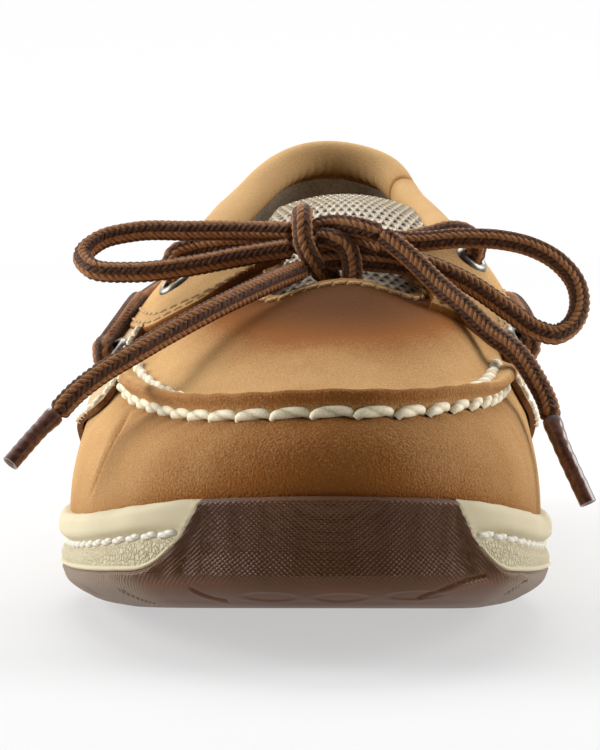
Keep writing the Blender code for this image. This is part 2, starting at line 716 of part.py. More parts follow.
def add_tube(name, points, diameter, finish, parts):
    """Round tube with filled ends along a run of points."""
    curve = bpy.data.curves.new(name, "CURVE")
    curve.dimensions = "3D"
    curve.bevel_depth = diameter / 2
    curve.bevel_resolution = 2
    curve.use_fill_caps = True
    spline = curve.splines.new("POLY")
    spline.points.add(len(points) - 1)
    for target, point in zip(spline.points, points):
        target.co = (*map(float, point), 1.0)
    curve.materials.append(finish)
    tube = bpy.data.objects.new(name, curve)
    parts.objects.link(tube)


def add_side_lace(last, finishes, parts):
    """Lace that lies on the quarters, from side eyelet to side eyelet round the heel."""
    rows = np.array(SIDE_LACE)
    place = np.linspace(rows[0, 0], rows[-1, 0], SIDE_LACE_STEPS)
    share = open_curve(rows[::-1, 1:], rows[::-1, 0], place)[:, 0]
    u = np.array([last.at_section(section) for section in place])
    lift = LACE_DIAMETER / 2 + SIDE_LACE_GAP
    points = last.crowned(u, share) + last.normal(u, share) * lift
    add_tube("side_lace", points, LACE_DIAMETER, finishes["lace"], parts)


def add_bow(finishes, parts):
    """Bar between the front eyelets, the knot, two loops and two ends with their tips."""
    lace = finishes["lace"]
    add_tube("lace_bar", resampled(BAR_ROUTE), LACE_DIAMETER, lace, parts)
    bpy.ops.mesh.primitive_uv_sphere_add(segments=14, ring_count=8, radius=1.0)
    knot = bpy.context.object
    knot.name = "knot"
    for collection in list(knot.users_collection):
        collection.objects.unlink(knot)
    parts.objects.link(knot)
    for vertex in knot.data.vertices:
        vertex.co = Vector(a * b for a, b in zip(vertex.co, KNOT_RADII))
    knot.location = KNOT_CENTRE
    knot.data.materials.append(lace)
    knot.data.shade_smooth()
    add_tube("loop_lateral", resampled(LATERAL_LOOP_ROUTE), LACE_DIAMETER, lace, parts)
    add_tube("loop_medial", resampled(MEDIAL_LOOP_ROUTE), LACE_DIAMETER, lace, parts)
    for side, route in (("lateral", LATERAL_END_ROUTE), ("medial", MEDIAL_END_ROUTE)):
        end = resampled(route)
        add_tube(f"end_{side}", end, LACE_DIAMETER, lace, parts)
        tip = np.array(AGLET_TIPS[side])
        away = end[-1] - end[-2]
        first = end[-1] + away / np.linalg.norm(away) * GAP
        middle = first + away / np.linalg.norm(away) * AGLET_DIAMETER
        add_tube(f"aglet_{side}", [first, middle, tip], AGLET_DIAMETER, finishes["tip"], parts)


def main():
    for old in list(bpy.data.objects):
        bpy.data.objects.remove(old)
    parts = bpy.data.collections.new("boat_shoe")
    cutters = bpy.data.collections.new("cutters")
    bpy.context.scene.collection.children.link(parts)
    bpy.context.scene.collection.children.link(cutters)
    finishes = {
        "rubber": material("gum_rubber", (0.07, 0.035, 0.02), 0.55),
        "cream": material("cream_sidewall", (0.70, 0.64, 0.42), 0.6),
        "leather": material("tan_nubuck", (0.55, 0.32, 0.12), 0.75),
        "suede": material("lining_suede", (0.42, 0.34, 0.26), 0.9),
        "knit": material("mesh_knit", (0.75, 0.70, 0.55), 0.9),
        "lace": material("braided_lace", (0.10, 0.03, 0.012), 0.7),
        "tip": material("lace_tip", (0.12, 0.05, 0.03), 0.25),
        "metal": material("antique_silver", (0.45, 0.45, 0.43), 0.35, 1.0),
    }
    last = Last()
    add_sole(last, finishes, parts, cutters)
    add_insole(last, finishes, parts)
    add_upper(last, finishes, parts)
    add_collar(last, finishes, parts)
    add_tongue(last, finishes, parts)
    for side, seat in FRONT_EYELETS.items():
        add_eyelet(f"eyelet_front_{side}", last, seat, finishes, parts)
    for side, seat in SIDE_EYELETS.items():
        add_eyelet(f"eyelet_side_{side}", last, seat, finishes, parts)
    add_side_lace(last, finishes, parts)
    add_bow(finishes, parts)


main()
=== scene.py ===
"""Looks of the boat shoe: nubuck moccasin upper, two-tone rubber sole, mesh tongue, braided laces.

Sizes are in millimetres and become metres where a mesh is made.  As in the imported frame, the toe
points along -Y, the medial side of this right shoe faces +X and the floor is Z = 0.
"""

import logging
import math
from collections.abc import Callable
from dataclasses import dataclass, field
from enum import Enum
from functools import partial
from typing import NamedTuple

import bpy
import numpy as np
from mathutils import Euler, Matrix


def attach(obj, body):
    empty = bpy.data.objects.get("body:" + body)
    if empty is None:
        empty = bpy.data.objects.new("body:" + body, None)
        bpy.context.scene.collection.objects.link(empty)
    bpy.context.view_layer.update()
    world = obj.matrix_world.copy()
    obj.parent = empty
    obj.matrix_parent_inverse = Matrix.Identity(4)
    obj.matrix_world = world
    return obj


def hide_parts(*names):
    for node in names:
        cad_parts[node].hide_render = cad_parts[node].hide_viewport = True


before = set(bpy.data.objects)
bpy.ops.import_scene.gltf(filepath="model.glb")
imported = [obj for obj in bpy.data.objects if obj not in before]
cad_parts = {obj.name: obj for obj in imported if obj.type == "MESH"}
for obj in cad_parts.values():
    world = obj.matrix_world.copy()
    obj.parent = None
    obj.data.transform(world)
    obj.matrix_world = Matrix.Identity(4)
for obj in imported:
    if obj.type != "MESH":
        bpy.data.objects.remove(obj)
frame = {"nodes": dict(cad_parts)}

LOG = logging.getLogger("boat_shoe")
METRES = 0.001
TURN = 2 * math.pi
BODY = "root"
UP = (0.0, 0.0, 1.0)
Socket = bpy.types.NodeSocket
AddNode = Callable[..., Socket]


class Slot(Enum):
    """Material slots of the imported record."""

    RUBBER = "gum_rubber"
    SIDEWALL = "cream_sidewall"
    NUBUCK = "tan_nubuck"
    SUEDE = "lining_suede"
    KNIT = "mesh_knit"
    LACE = "braided_lace"
    TIP = "lace_tip"
    METAL = "antique_silver"


class Side(Enum):
    """The two sides of the shoe, with the sign of their X direction."""

    LATERAL = -1
    MEDIAL = 1

    @property
    def word(self) -> str:
        """Name of the side as the CAD nodes spell it."""
        return self.name.lower()


def linear(colour: str) -> tuple[float, float, float, float]:
    """Turn an sRGB hex colour into linear RGBA.

    Args:
        colour: six hex digits.

    Returns:
        The linear colour with an alpha of 1.
    """
    values = [int(colour[i : i + 2], 16) / 255 for i in (0, 2, 4)]
    curve = [v / 12.92 if v <= 0.04045 else ((v + 0.055) / 1.055) ** 2.4 for v in values]
    return (curve[0], curve[1], curve[2], 1.0)


def per_size(size: float) -> float:
    """Texture scale, in 1/m, of a pattern whose features measure size millimetres."""
    return 1 / (size * METRES)


def set_inputs(node: bpy.types.Node, inputs: dict | tuple | list) -> None:
    """Fill or link a node's inputs.

    Args:
        node: the node.
        inputs: values or output sockets, by input name or index, or in the order of the inputs.
    """
    for key, value in inputs.items() if isinstance(inputs, dict) else enumerate(inputs):
        if isinstance(value, Socket):
            node.id_data.links.new(value, node.inputs[key])
        else:
            node.inputs[key].default_value = value


def add_node(tree: bpy.types.NodeTree, kind: str, inputs=(), out: int | str = 0, **settings) -> Socket:
    """Add a node, set its properties, and fill or link its inputs.

    Args:
        tree: node tree to add to.
        kind: node type without its "ShaderNode" prefix.
        inputs: its inputs, as set_inputs takes them.
        out: the output that is wanted.
        **settings: properties of the node.

    Returns:
        The wanted output.
    """
    node = tree.nodes.new("ShaderNode" + kind)
    for key, value in settings.items():
        setattr(node, key, value)
    set_inputs(node, inputs)
    return node.outputs[out]


def link(name: str, data: bpy.types.ID) -> bpy.types.Object:
    """Put a new object of that name and data into the scene, and return it."""
    made = bpy.data.objects.new(name, data)
    bpy.context.scene.collection.objects.link(made)
    return made


class Dress(NamedTuple):
    """What a finish adds to the plain shader.

    Attributes:
        layers: (share, hex colour) pairs, laid over the base colour one after another.
        reliefs: (height, strength, depth in millimetres) rows, each bumped over the one before.
        sockets: the shader's own plain values.
    """

    layers: list[tuple[Socket, str]]
    reliefs: list[tuple[Socket, float, float]]
    sockets: dict[str, object]


@dataclass(frozen=True)
class Finish:
    """A material of the shoe and the record slot it belongs to."""

    name: str
    slot: Slot
    base: str
    roughness: float

    def material(self) -> bpy.types.Material:
        """Return the finish as a material, made the first time it is asked for."""
        made = bpy.data.materials.get(self.name)
        if made is not None:
            return made
        made = bpy.data.materials.new(self.name)
        made.use_nodes = True
        add = partial(add_node, made.node_tree)
        dress = self.dress(add, add("TexCoord", out="Object"))
        inputs = {"Base Color": linear(self.base), "Roughness": self.roughness, **dress.sockets}
        for share, tone in dress.layers:
            mix = {0: share, 6: inputs["Base Color"], 7: linear(tone)}
            inputs["Base Color"] = add("Mix", mix, 2, data_type="RGBA")
        for height, strength, depth in dress.reliefs:
            bump = {"Height": height, "Strength": strength, "Distance": depth * METRES}
            below = {"Normal": inputs["Normal"]} if "Normal" in inputs else {}
            inputs["Normal"] = add("Bump", bump | below)
        set_inputs(made.node_tree.nodes["Principled BSDF"], inputs)
        return made

    def dress(self, add: AddNode, where: Socket) -> Dress:
        """Work out the finish's own colours, relief and sheen.

        Args:
            add: adds a node to the finish's tree, as add_node does.
            where: place on the shoe, in metres.

        Returns:
            What the shader gets.
        """
        raise NotImplementedError


@dataclass(frozen=True)
class Nubuck(Finish):
    """Oiled nubuck: cowhide sanded on its grain side to a short velvety nap.

    The eye sees a matt surface with soft cloudy colour, fine pores, and a light sheen at grazing
    angles; cut edges are darker, the mesh's fold value lays painted shade on folds and the toe,
    and a painted shadow under the bow makes the leather darkest there.
    """

    # colour of the darker cut edges and of the painted shade that the fold value lays on
    dark: str = "7C4A1E"
    # colour of the painted shadow under the bow
    painted_shadow: str = "30170A"
    bloom: str = "B98A52"
    cloud_size: float = 16.0
    grain_size: float = 0.32
    pore_size: float = 0.5
    relief: float = 0.28
    sheen: float = 0.10

    def dress(self, add: AddNode, where: Socket) -> Dress:
        """Cloudy tone, painted shade and painted shadow from the mesh's fold value, and a fine nap."""
        cloud = add("TexNoise", {"Vector": where, "Scale": per_size(self.cloud_size), "Detail": 4.0,
                                 "Roughness": 0.55})
        nap = add("TexNoise", {"Vector": where, "Scale": per_size(self.grain_size), "Detail": 3.0,
                               "Roughness": 0.6})
        pores = add("TexVoronoi", {"Vector": where, "Scale": per_size(self.pore_size)})
        # fold value: darker cut edges, painted shade, and above 0.9 a painted shadow
        fold = add("Attribute", out="Fac", attribute_name="fold")
        mottled = add("MapRange", (cloud, 0.36, 0.66, 0.16, 0.0))
        speckle = add("MapRange", (nap, 0.3, 0.7, 0.30, -0.16))
        skin = add("Math", (mottled, speckle), operation="ADD")
        # painted shade from the fold value, added to the skin's random mottle
        mottle_and_painted_shade = add("Math", (skin, fold), operation="ADD", use_clamp=True)
        # painted shadow under the bow, from fold values above 0.9
        shaded = add("MapRange", (fold, 0.9, 1.6, 0.0, 0.85))
        height = add("Math", (nap, pores), operation="ADD")
        return Dress([(mottle_and_painted_shade, self.dark), (shaded, self.painted_shadow)], [(height, 0.6, self.relief)],
                     {"Sheen Weight": self.sheen, "Sheen Roughness": 0.45, "Sheen Tint": linear(self.bloom),
                      "Specular IOR Level": 0.05})


@dataclass(frozen=True)
class Suede(Finish):
    """Pigskin suede lining: split leather with a long, uneven nap that scatters light."""

    dark: str = "7F7263"
    brush_size: float = 9.0
    nap_size: float = 0.7

    def dress(self, add: AddNode, where: Socket) -> Dress:
        """Brushed patches and a coarse nap."""
        cloud = add("TexNoise", {"Vector": where, "Scale": per_size(self.brush_size), "Detail": 5.0})
        nap = add("TexNoise", {"Vector": where, "Scale": per_size(self.nap_size), "Detail": 4.0})
        both = add("Math", (cloud, nap), operation="MULTIPLY")
        share = add("MapRange", (both, 0.15, 0.38, 0.75, 0.0))
        return Dress([(share, self.dark)], [(nap, 0.6, 0.2)], {"Sheen Weight": 0.3, "Sheen Roughness": 0.5})


@dataclass(frozen=True)
class GumRubber(Finish):
    """Moulded gum rubber: brown compound, satin from a fine spark-eroded mould.

    The cross-hatch of the side band is drawn at 0.85 mm, and a painted grey sheen lies on its crests.
    """

    dark: str = "3C210E"
    # colour of the painted grey sheen on the hatch crests
    painted_crest_sheen: str = "917C68"
    hatch: float = 0.85
    cloud_size: float = 20.0
    grain_size: float = 0.35

    def dress(self, add: AddNode, where: Socket) -> Dress:
        """Slightly uneven brown with a fine mould grain and the cross-hatch of the side band, with painted
        sheen on its crests.
        """
        run, rise, hatched = (add("Attribute", out="Fac", attribute_name=name)
                              for name in ("run", "rise", "hatched"))
        lines = []
        for operation in ("ADD", "SUBTRACT"):
            slanted = add("Math", (run, rise), operation=operation)
            wave = add("Math", (slanted, TURN / self.hatch), operation="MULTIPLY")
            lines.append(add("Math", (wave,), operation="SINE"))
        crossed = add("Math", lines, operation="MAXIMUM")
        relief = add("Math", (crossed, hatched), operation="MULTIPLY")
        cloud = add("TexNoise", {"Vector": where, "Scale": per_size(self.cloud_size), "Detail": 3.0})
        grain = add("TexNoise", {"Vector": where, "Scale": per_size(self.grain_size), "Detail": 2.0})
        share = add("MapRange", (cloud, 0.35, 0.65, 0.5, 0.0))
        # painted sheen share, strongest on the crests of the cross-hatch
        worn = add("MapRange", (crossed, -0.2, 0.9, 0.4, 1.0))
        painted_sheen_share = add("Math", (hatched, worn), operation="MULTIPLY")
        return Dress([(share, self.dark), (painted_sheen_share, self.painted_crest_sheen)], [(grain, 0.25, 0.06), (relief, 0.9, 0.2)],
                     {"Specular IOR Level": 0.28})


@dataclass(frozen=True)
class SidewallRubber(Finish):
    """Foamed cream rubber of the sidewall: matt skin, pebbled where the mould is grained."""

    soiled: str = "A79A78"
    pebble_size: float = 0.95
    pebble_relief: float = 0.5
    wrinkle: float = 0.7

    def dress(self, add: AddNode, where: Socket) -> Dress:
        """Wrinkled leather-like pebbling where the mesh asks for it, faint soiling elsewhere."""
        cloud = add("TexNoise", {"Vector": where, "Scale": per_size(12.0), "Detail": 4.0})
        warp = add("TexNoise", {"Vector": where, "Scale": per_size(1.6), "Detail": 2.0}, "Color")
        moved = add("MixRGB", (self.wrinkle * METRES, where, warp), blend_type="ADD")
        pebble = add("TexVoronoi", {"Vector": moved, "Scale": per_size(self.pebble_size)},
                     feature="DISTANCE_TO_EDGE")
        cells = add("MapRange", (pebble, 0.0, 0.22, 0.0, 1.0))
        grained = add("Attribute", out="Fac", attribute_name="pebbled")
        height = add("Math", (cells, grained), operation="MULTIPLY")
        share = add("MapRange", (cloud, 0.35, 0.7, 0.3, 0.0))
        return Dress([(share, self.soiled)], [(height, 0.7, self.pebble_relief)],
                     {"Subsurface Weight": 0.12, "Subsurface Radius": (1.0, 0.8, 0.5),
                      "Subsurface Scale": 1.2 * METRES})


@dataclass(frozen=True)
class SpunThread(Finish):
    """Waxed spun polyester thread: fine filaments laid in a low twist, with a soft gloss.

    Real filaments are about 0.02 mm; they are drawn at 0.16 mm so that they show.
    """

    # colour of the fibres' random speckle and of the painted shade in the twist's hollows
    shade: str = "A89A78"
    filament: float = 0.16

    def dress(self, add: AddNode, where: Socket) -> Dress:
        """Fine fibres, and painted shade in the hollows of the twist."""
        fibre = add("TexNoise", {"Vector": where, "Scale": per_size(self.filament * 2), "Detail": 2.0})
        painted_hollow_shade = add("Attribute", out="Fac", attribute_name="fold")
        speckle = add("MapRange", (fibre, 0.35, 0.65, 0.35, 0.0))
        # painted shade in the twist's hollows, added to the fibres' speckle
        share = add("Math", (speckle, painted_hollow_shade), operation="ADD", use_clamp=True)
        return Dress([(share, self.shade)], [(fibre, 0.5, 0.08)], {"Sheen Weight": 0.2})


@dataclass(frozen=True)
class BraidedYarn(Finish):
    """Round braid of polyester bundles, dark brown one way and lighter russet the other."""

    other: str = "9A683F"
    # colour of the painted shade between the bundles
    gap: str = "170803"
    bloom: str = "D9A27E"
    filaments: float = 3.0

    def dress(self, add: AddNode, where: Socket) -> Dress:
        """Colour by bundle, painted shade in the gaps between bundles, and filaments that run along each
        bundle.
        """
        # the gap value carries painted shade between the bundles
        bundle, depth, across = (add("Attribute", out="Fac", attribute_name=name)
                                 for name in ("bundle", "gap", "across"))
        speck = add("TexNoise", {"Vector": where, "Scale": per_size(0.6), "Detail": 3.0})
        spread = add("MapRange", (speck, 0.3, 0.7, -0.38, 0.38))
        mixed = add("Math", (bundle, spread), operation="ADD", use_clamp=True)
        wave = add("Math", (across, TURN * self.filaments), operation="MULTIPLY")
        ridges = add("Math", (wave,), operation="SINE")
        return Dress([(mixed, self.other), (depth, self.gap)], [(ridges, 0.35, 0.05)],
                     {"Sheen Weight": 0.05, "Sheen Roughness": 0.35, "Sheen Tint": linear(self.bloom),
                      "Specular IOR Level": 0.2})


@dataclass(frozen=True)
class AgedMetal(Finish):
    """Antiqued nickel on brass: bright on the worn crown, blackened in the hollows."""

    tarnish: str = "1D1B18"

    def dress(self, add: AddNode, where: Socket) -> Dress:
        """Blackening from the mesh's own fold value, with fine handling marks."""
        fold = add("Attribute", out="Fac", attribute_name="fold")
        marks = add("TexNoise", {"Vector": where, "Scale": per_size(0.8), "Detail": 4.0})
        rubbed = add("MapRange", (marks, 0.35, 0.7, 0.0, 0.4))
        share = add("Math", (fold, rubbed), operation="ADD", use_clamp=True)
        return Dress([(share, self.tarnish)], [], {"Metallic": 1.0})


@dataclass(frozen=True)
class TipFilm(Finish):
    """Clear acetate film wrapped hot round the braid: glossy, brown from the lace beneath."""

    beneath: str = "6A3F2C"

    def dress(self, add: AddNode, where: Socket) -> Dress:
        """Glossy coat over the pressed braid."""
        pressed = add("TexNoise", {"Vector": where, "Scale": per_size(0.9), "Detail": 3.0})
        share = add("MapRange", (pressed, 0.35, 0.65))
        return Dress([(share, self.beneath)], [(pressed, 0.4, 0.15)],
                     {"Coat Weight": 0.8, "Coat Roughness": 0.12})


@dataclass(frozen=True)
class KnittedYarn(Finish):
    """Undyed polyester yarn of the mesh: soft, fuzzy and nearly white."""

    shade: str = "D9C9A8"
    # colour of the painted shade in the holes
    hole: str = "0E0B08"

    def dress(self, add: AddNode, where: Socket) -> Dress:
        """Fuzz, slight yellowing, and near-black painted shade in the holes of the knit."""
        painted_hollow_shade = add("Attribute", out="Fac", attribute_name="fold")
        fuzz = add("TexNoise", {"Vector": where, "Scale": per_size(0.35), "Detail": 3.0})
        share = add("MapRange", (fuzz, 0.35, 0.65, 0.55, 0.0))
        return Dress([(share, self.shade), (painted_hollow_shade, self.hole)], [(fuzz, 0.8, 0.15)], {"Sheen Weight": 0.6})


# The nubucks' dark colour is laid on by the mesh's fold value: darker cut edges, painted shade, and on the
# upper a painted shadow under the bow.
MUDGUARD = Nubuck("oiled_nubuck_tan", Slot.NUBUCK, "C39E6C", 0.8)
WING_NUBUCK = Nubuck("oiled_nubuck_pale", Slot.NUBUCK, "C8B390", 0.8, dark="6B4324")
COLLAR_NUBUCK = Nubuck("padded_nubuck", Slot.NUBUCK, "BA986A", 0.72, dark="8E6230", relief=0.10)
LINING = Suede("pigskin_suede", Slot.SUEDE, "BDAF9A", 0.95)
FOOTBED = Suede("footbed_suede", Slot.SUEDE, "B39A78", 0.95, dark="80694C")
OUTSOLE_RUBBER = GumRubber("gum_rubber_brown", Slot.RUBBER, "5E3A20", 0.45)
CREAM_RUBBER = SidewallRubber("cream_rubber", Slot.SIDEWALL, "B9AD8C", 0.62)
MOC_THREAD = SpunThread("waxed_moc_thread", Slot.NUBUCK, "E8DDBE", 0.6)
FOXING_THREAD = SpunThread("foxing_thread", Slot.SIDEWALL, "DAD4C6", 0.6, shade="A79F8C")
TAN_THREAD = SpunThread("tan_seam_thread", Slot.NUBUCK, "C59A5C", 0.6, shade="7A5228")
WHITE_THREAD = SpunThread("white_seam_thread", Slot.NUBUCK, "F0E8D2", 0.6, shade="B7A782")
LACE_YARN = BraidedYarn("russet_braid", Slot.LACE, "4A2D1C", 0.68)
LACE_TIP = TipFilm("lace_tip_film", Slot.TIP, "3C2016", 0.3)
EYELET_METAL = AgedMetal("antique_nickel", Slot.METAL, "98948A", 0.36)
MESH_YARN = KnittedYarn("undyed_mesh_yarn", Slot.KNIT, "FFF4E0", 0.9)
# near-black sheet under the knit: painted shade seen through its holes
HOLE_SHADE_BACKING = Suede("hole_shade_backing", Slot.KNIT, "1B1712", 0.95, dark="0C0A08")


def closed_curve(points: np.ndarray, knots: np.ndarray, where: np.ndarray) -> np.ndarray:
    """Smooth closed curve through points.

    Args:
        points: rows of the table.
        knots: their parameters, from 0 up to below 1.
        where: parameters to read.

    Returns:
        The curve's points.
    """
    span = np.diff(np.append(knots, 1.0))
    rise = (np.roll(points, -1, axis=0) - points) / span[:, None]
    system = np.diag(2 * (np.roll(span, 1) + span)) + np.diag(span[:-1], 1) + np.diag(span[:-1], -1)
    system[0, -1] = system[-1, 0] = span[-1]
    bend = np.linalg.solve(system, 6 * (rise - np.roll(rise, 1, axis=0)))
    where = np.mod(where, 1.0)
    first = np.clip(np.searchsorted(knots, where, side="right") - 1, 0, len(points) - 1)
    second = (first + 1) % len(points)
    step = span[first][:, None]
    along = (where - knots[first])[:, None] / step
    back = 1 - along
    curve = back * points[first] + along * points[second]
    curve += step**2 / 6 * ((back**3 - back) * bend[first] + (along**3 - along) * bend[second])
    return curve


def open_curve(points: np.ndarray, knots: np.ndarray, where: np.ndarray) -> np.ndarray:
    """Smooth open curve through points at rising knots, read at where.

    Args:
        points: rows of the table.
        knots: their rising parameters.
        where: parameters to read.

    Returns:
        The curve's points.
    """
    points = np.asarray(points, float)
    knots = np.asarray(knots, float)
    slopes = np.gradient(points, knots, axis=0)
    first = np.clip(np.searchsorted(knots, where, side="right") - 1, 0, len(knots) - 2)
    step = (knots[first + 1] - knots[first])[:, None]
    t = (where - knots[first])[:, None] / step
    curve = (2 * t**3 - 3 * t**2 + 1) * points[first]
    curve += (t**3 - 2 * t**2 + t) * step * slopes[first]
    curve += (3 * t**2 - 2 * t**3) * points[first + 1]
    curve += (t**3 - t**2) * step * slopes[first + 1]
    return curve


def smooth_row(table: list[tuple[float, float]], where: np.ndarray) -> np.ndarray:
    """Smooth one-column table of (place, value) rows read at where.

    Args:
        table: places in rising order, each with its value.
        where: places to read.

    Returns:
        The values there.
    """
    rows = np.array(table, float)
    flat = np.clip(np.ravel(where), rows[0, 0], rows[-1, 0])
    return open_curve(rows[:, 1:], rows[:, 0], flat)[:, 0].reshape(np.shape(where))


def drawn(rows: np.ndarray, count: int) -> np.ndarray:
    """Smooth curve through rows, read at count places from the first to the last."""
    return open_curve(rows, np.arange(len(rows)), np.linspace(0, len(rows) - 1, count))


def ease(value: np.ndarray) -> np.ndarray:
    """Smooth step from 0 to 1."""
    value = np.clip(value, 0.0, 1.0)
    return value * value * (3 - 2 * value)


def unit(vectors: np.ndarray) -> np.ndarray:
    """Vectors scaled to length 1."""
    return vectors / np.maximum(np.linalg.norm(vectors, axis=-1, keepdims=True), 1e-12)


def arc_lengths(points: np.ndarray) -> np.ndarray:
    """Running length along a row of points."""
    return np.concatenate(([0.0], np.cumsum(np.linalg.norm(np.diff(points, axis=0), axis=1))))


def read_rows(where: np.ndarray, run: np.ndarray, rows: np.ndarray) -> np.ndarray:
    """Rows that lie at rising places run, read between them at where."""
    return np.column_stack([np.interp(where, run, column) for column in rows.T])


def turns(count: int) -> np.ndarray:
    """Evenly spaced angles of one whole turn."""
    return np.arange(count) / count * TURN


def from_ends(count: int) -> np.ndarray:
    """Steps from each of count places to the nearer end of their row."""
    return np.minimum(np.arange(count), np.arange(count)[::-1])


def bell(off: np.ndarray, width: float) -> np.ndarray:
    """Bell curve that is 1 in the middle and fades over width."""
    return np.exp(-((off / width) ** 2))


def grid_faces(rows: int, columns: int, wrap: bool) -> np.ndarray:
    """Quads of a grid of points stored row by row.

    Args:
        rows: number of rows.
        columns: number of points in each row.
        wrap: whether each row closes on itself.

    Returns:
        An array of four point indices per face.
    """
    i, j = np.meshgrid(np.arange(rows - 1), np.arange(columns if wrap else columns - 1), indexing="ij")
    k = (j + 1) % columns
    faces = np.stack([i * columns + j, i * columns + k, (i + 1) * columns + k, (i + 1) * columns + j], -1)
    return faces.reshape(-1, 4)


class Piece:
    """Collects points, faces and per-point values, and turns them into one visible piece."""

    def __init__(self, name: str, finish: Finish) -> None:
        """Start an empty piece.

        Args:
            name: name of the object.
            finish: its material.
        """
        self.name = name
        self.finish = finish
        self.points: list[np.ndarray] = []
        self.faces: list[list[int]] = []
        self.values: dict[str, list[np.ndarray]] = {}
        self.count = 0

    def add(self, points: np.ndarray, faces, **values: np.ndarray) -> None:
        """Add points in millimetres and faces that count from the first of them.

        Args:
            points: the points.
            faces: point indices of each face.
            **values: one value for each point, such as its tone.
        """
        points = np.reshape(points, (-1, 3))
        self.points.append(points)
        self.faces += [[int(v) + self.count for v in face] for face in faces]
        for key in set(self.values) | set(values):
            rows = self.values.setdefault(key, [np.zeros(self.count)] if self.count else [])
            rows.append(np.ravel(values[key]) if key in values else np.zeros(len(points)))
        self.count += len(points)

    def add_grid(self, points: np.ndarray, wrap: bool = False, flip: bool = False, **values) -> "Piece":
        """Add a grid of points, rows by columns, as quads, and return the piece itself.

        Args:
            points: the grid.
            wrap: whether each row closes on itself.
            flip: whether the faces look the other way.
            **values: one value for each point, such as its tone.
        """
        rows, columns = points.shape[:2]
        faces = grid_faces(rows, columns, wrap)
        self.add(points, faces[:, ::-1] if flip else faces, **values)
        return self

    def cap(self, ring: np.ndarray, flip: bool = False, **values) -> None:
        """Close a ring of points with one face."""
        order = range(len(ring))
        self.add(ring, [order[::-1] if flip else order], **values)

    def build(self, *replaced: str, edge_angle: float = 40.0) -> bpy.types.Object:
        """Make the object, dress it, let it ride and take over CAD nodes.

        Args:
            *replaced: CAD nodes that the piece stands for.
            edge_angle: angle in degrees above which an edge is drawn sharp.

        Returns:
            The finished object.
        """
        mesh = bpy.data.meshes.new(self.name)
        points = np.concatenate(self.points) * METRES
        mesh.from_pydata(points.tolist(), [], self.faces)
        for key, rows in self.values.items():
            layer = mesh.attributes.new(key, "FLOAT", "POINT")
            layer.data.foreach_set("value", np.concatenate(rows).astype(np.float32))
        mesh.materials.append(self.finish.material())
        mesh.shade_smooth()
        mesh.set_sharp_from_angle(angle=math.radians(edge_angle))
        made = link(self.name, mesh)
        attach(made, BODY)
        if replaced:
            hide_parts(*replaced)
        LOG.info("%s: %d points, %d faces", self.name, self.count, len(self.faces))
        return made


# The last's table, in shares of its sizes, as part.py has it.  Each row gives: at, out, seam_at,
# seam_out, seam_rise, top_at, top_out, top_rise, crown.
SECTIONS = [
    (0.000, 0.000, 0.006, 0.000, 0.45, 0.027, 0.000, 1.00, 0.028),
    (0.019, -0.202, 0.023, -0.186, 0.45, 0.050, -0.149, 0.96, 0.035),
    (0.085, -0.324, 0.089, -0.319, 0.44, 0.109, -0.245, 0.84, 0.035),
    (0.186, -0.362, 0.186, -0.360, 0.42, 0.194, -0.298, 0.78, 0.028),
    (0.295, -0.378, 0.295, -0.379, 0.42, 0.295, -0.340, 0.72, 0.020),
    (0.399, -0.415, 0.399, -0.410, 0.45, 0.399, -0.365, 0.73, 0.020),
    (0.504, -0.479, 0.500, -0.457, 0.48, 0.480, -0.325, 0.83, 0.030),
    (0.566, -0.524, 0.558, -0.477, 0.51, 0.530, -0.215, 0.97, 0.04),
    (0.612, -0.548, 0.605, -0.474, 0.52, 0.570, -0.133, 0.95, 0.05),
    (0.671, -0.565, 0.663, -0.442, 0.48, 0.609, -0.128, 0.88, 0.06),
    (0.744, -0.550, 0.729, -0.410, 0.42, 0.640, -0.154, 0.82, 0.06),
    (0.818, -0.510, 0.795, -0.362, 0.37, 0.659, -0.128, 0.76, 0.05),
    (0.893, -0.432, 0.865, -0.290, 0.31, 0.664, -0.080, 0.71, 0.04),
    (0.959, -0.278, 0.925, -0.180, 0.26, 0.667, -0.032, 0.64, 0.03),
    (1.000, -0.010, 0.955, 0.003, 0.25, 0.667, 0.016, 0.60, 0.03),
    (0.971, 0.206, 0.936, 0.138, 0.27, 0.667, 0.064, 0.63, 0.03),
    (0.922, 0.324, 0.886, 0.234, 0.32, 0.663, 0.106, 0.68, 0.04),
    (0.840, 0.395, 0.808, 0.296, 0.39, 0.655, 0.149, 0.75, 0.05),
    (0.750, 0.427, 0.732, 0.326, 0.45, 0.636, 0.165, 0.82, 0.06),
    (0.682, 0.426, 0.671, 0.351, 0.50, 0.609, 0.138, 0.90, 0.06),
    (0.620, 0.402, 0.612, 0.378, 0.56, 0.570, 0.133, 0.95, 0.05),
    (0.558, 0.362, 0.554, 0.381, 0.60, 0.535, 0.215, 0.98, 0.04),
    (0.488, 0.319, 0.488, 0.360, 0.58, 0.484, 0.290, 0.85, 0.025),
    (0.399, 0.293, 0.399, 0.324, 0.52, 0.399, 0.319, 0.73, 0.018),
    (0.298, 0.303, 0.298, 0.309, 0.47, 0.298, 0.287, 0.73, 0.018),
    (0.194, 0.335, 0.194, 0.314, 0.45, 0.194, 0.250, 0.77, 0.028),
    (0.093, 0.314, 0.093, 0.293, 0.44, 0.109, 0.207, 0.82, 0.035),
    (0.019, 0.197, 0.023, 0.181, 0.45, 0.050, 0.144, 0.93, 0.035),
]
COUNT = len(SECTIONS)


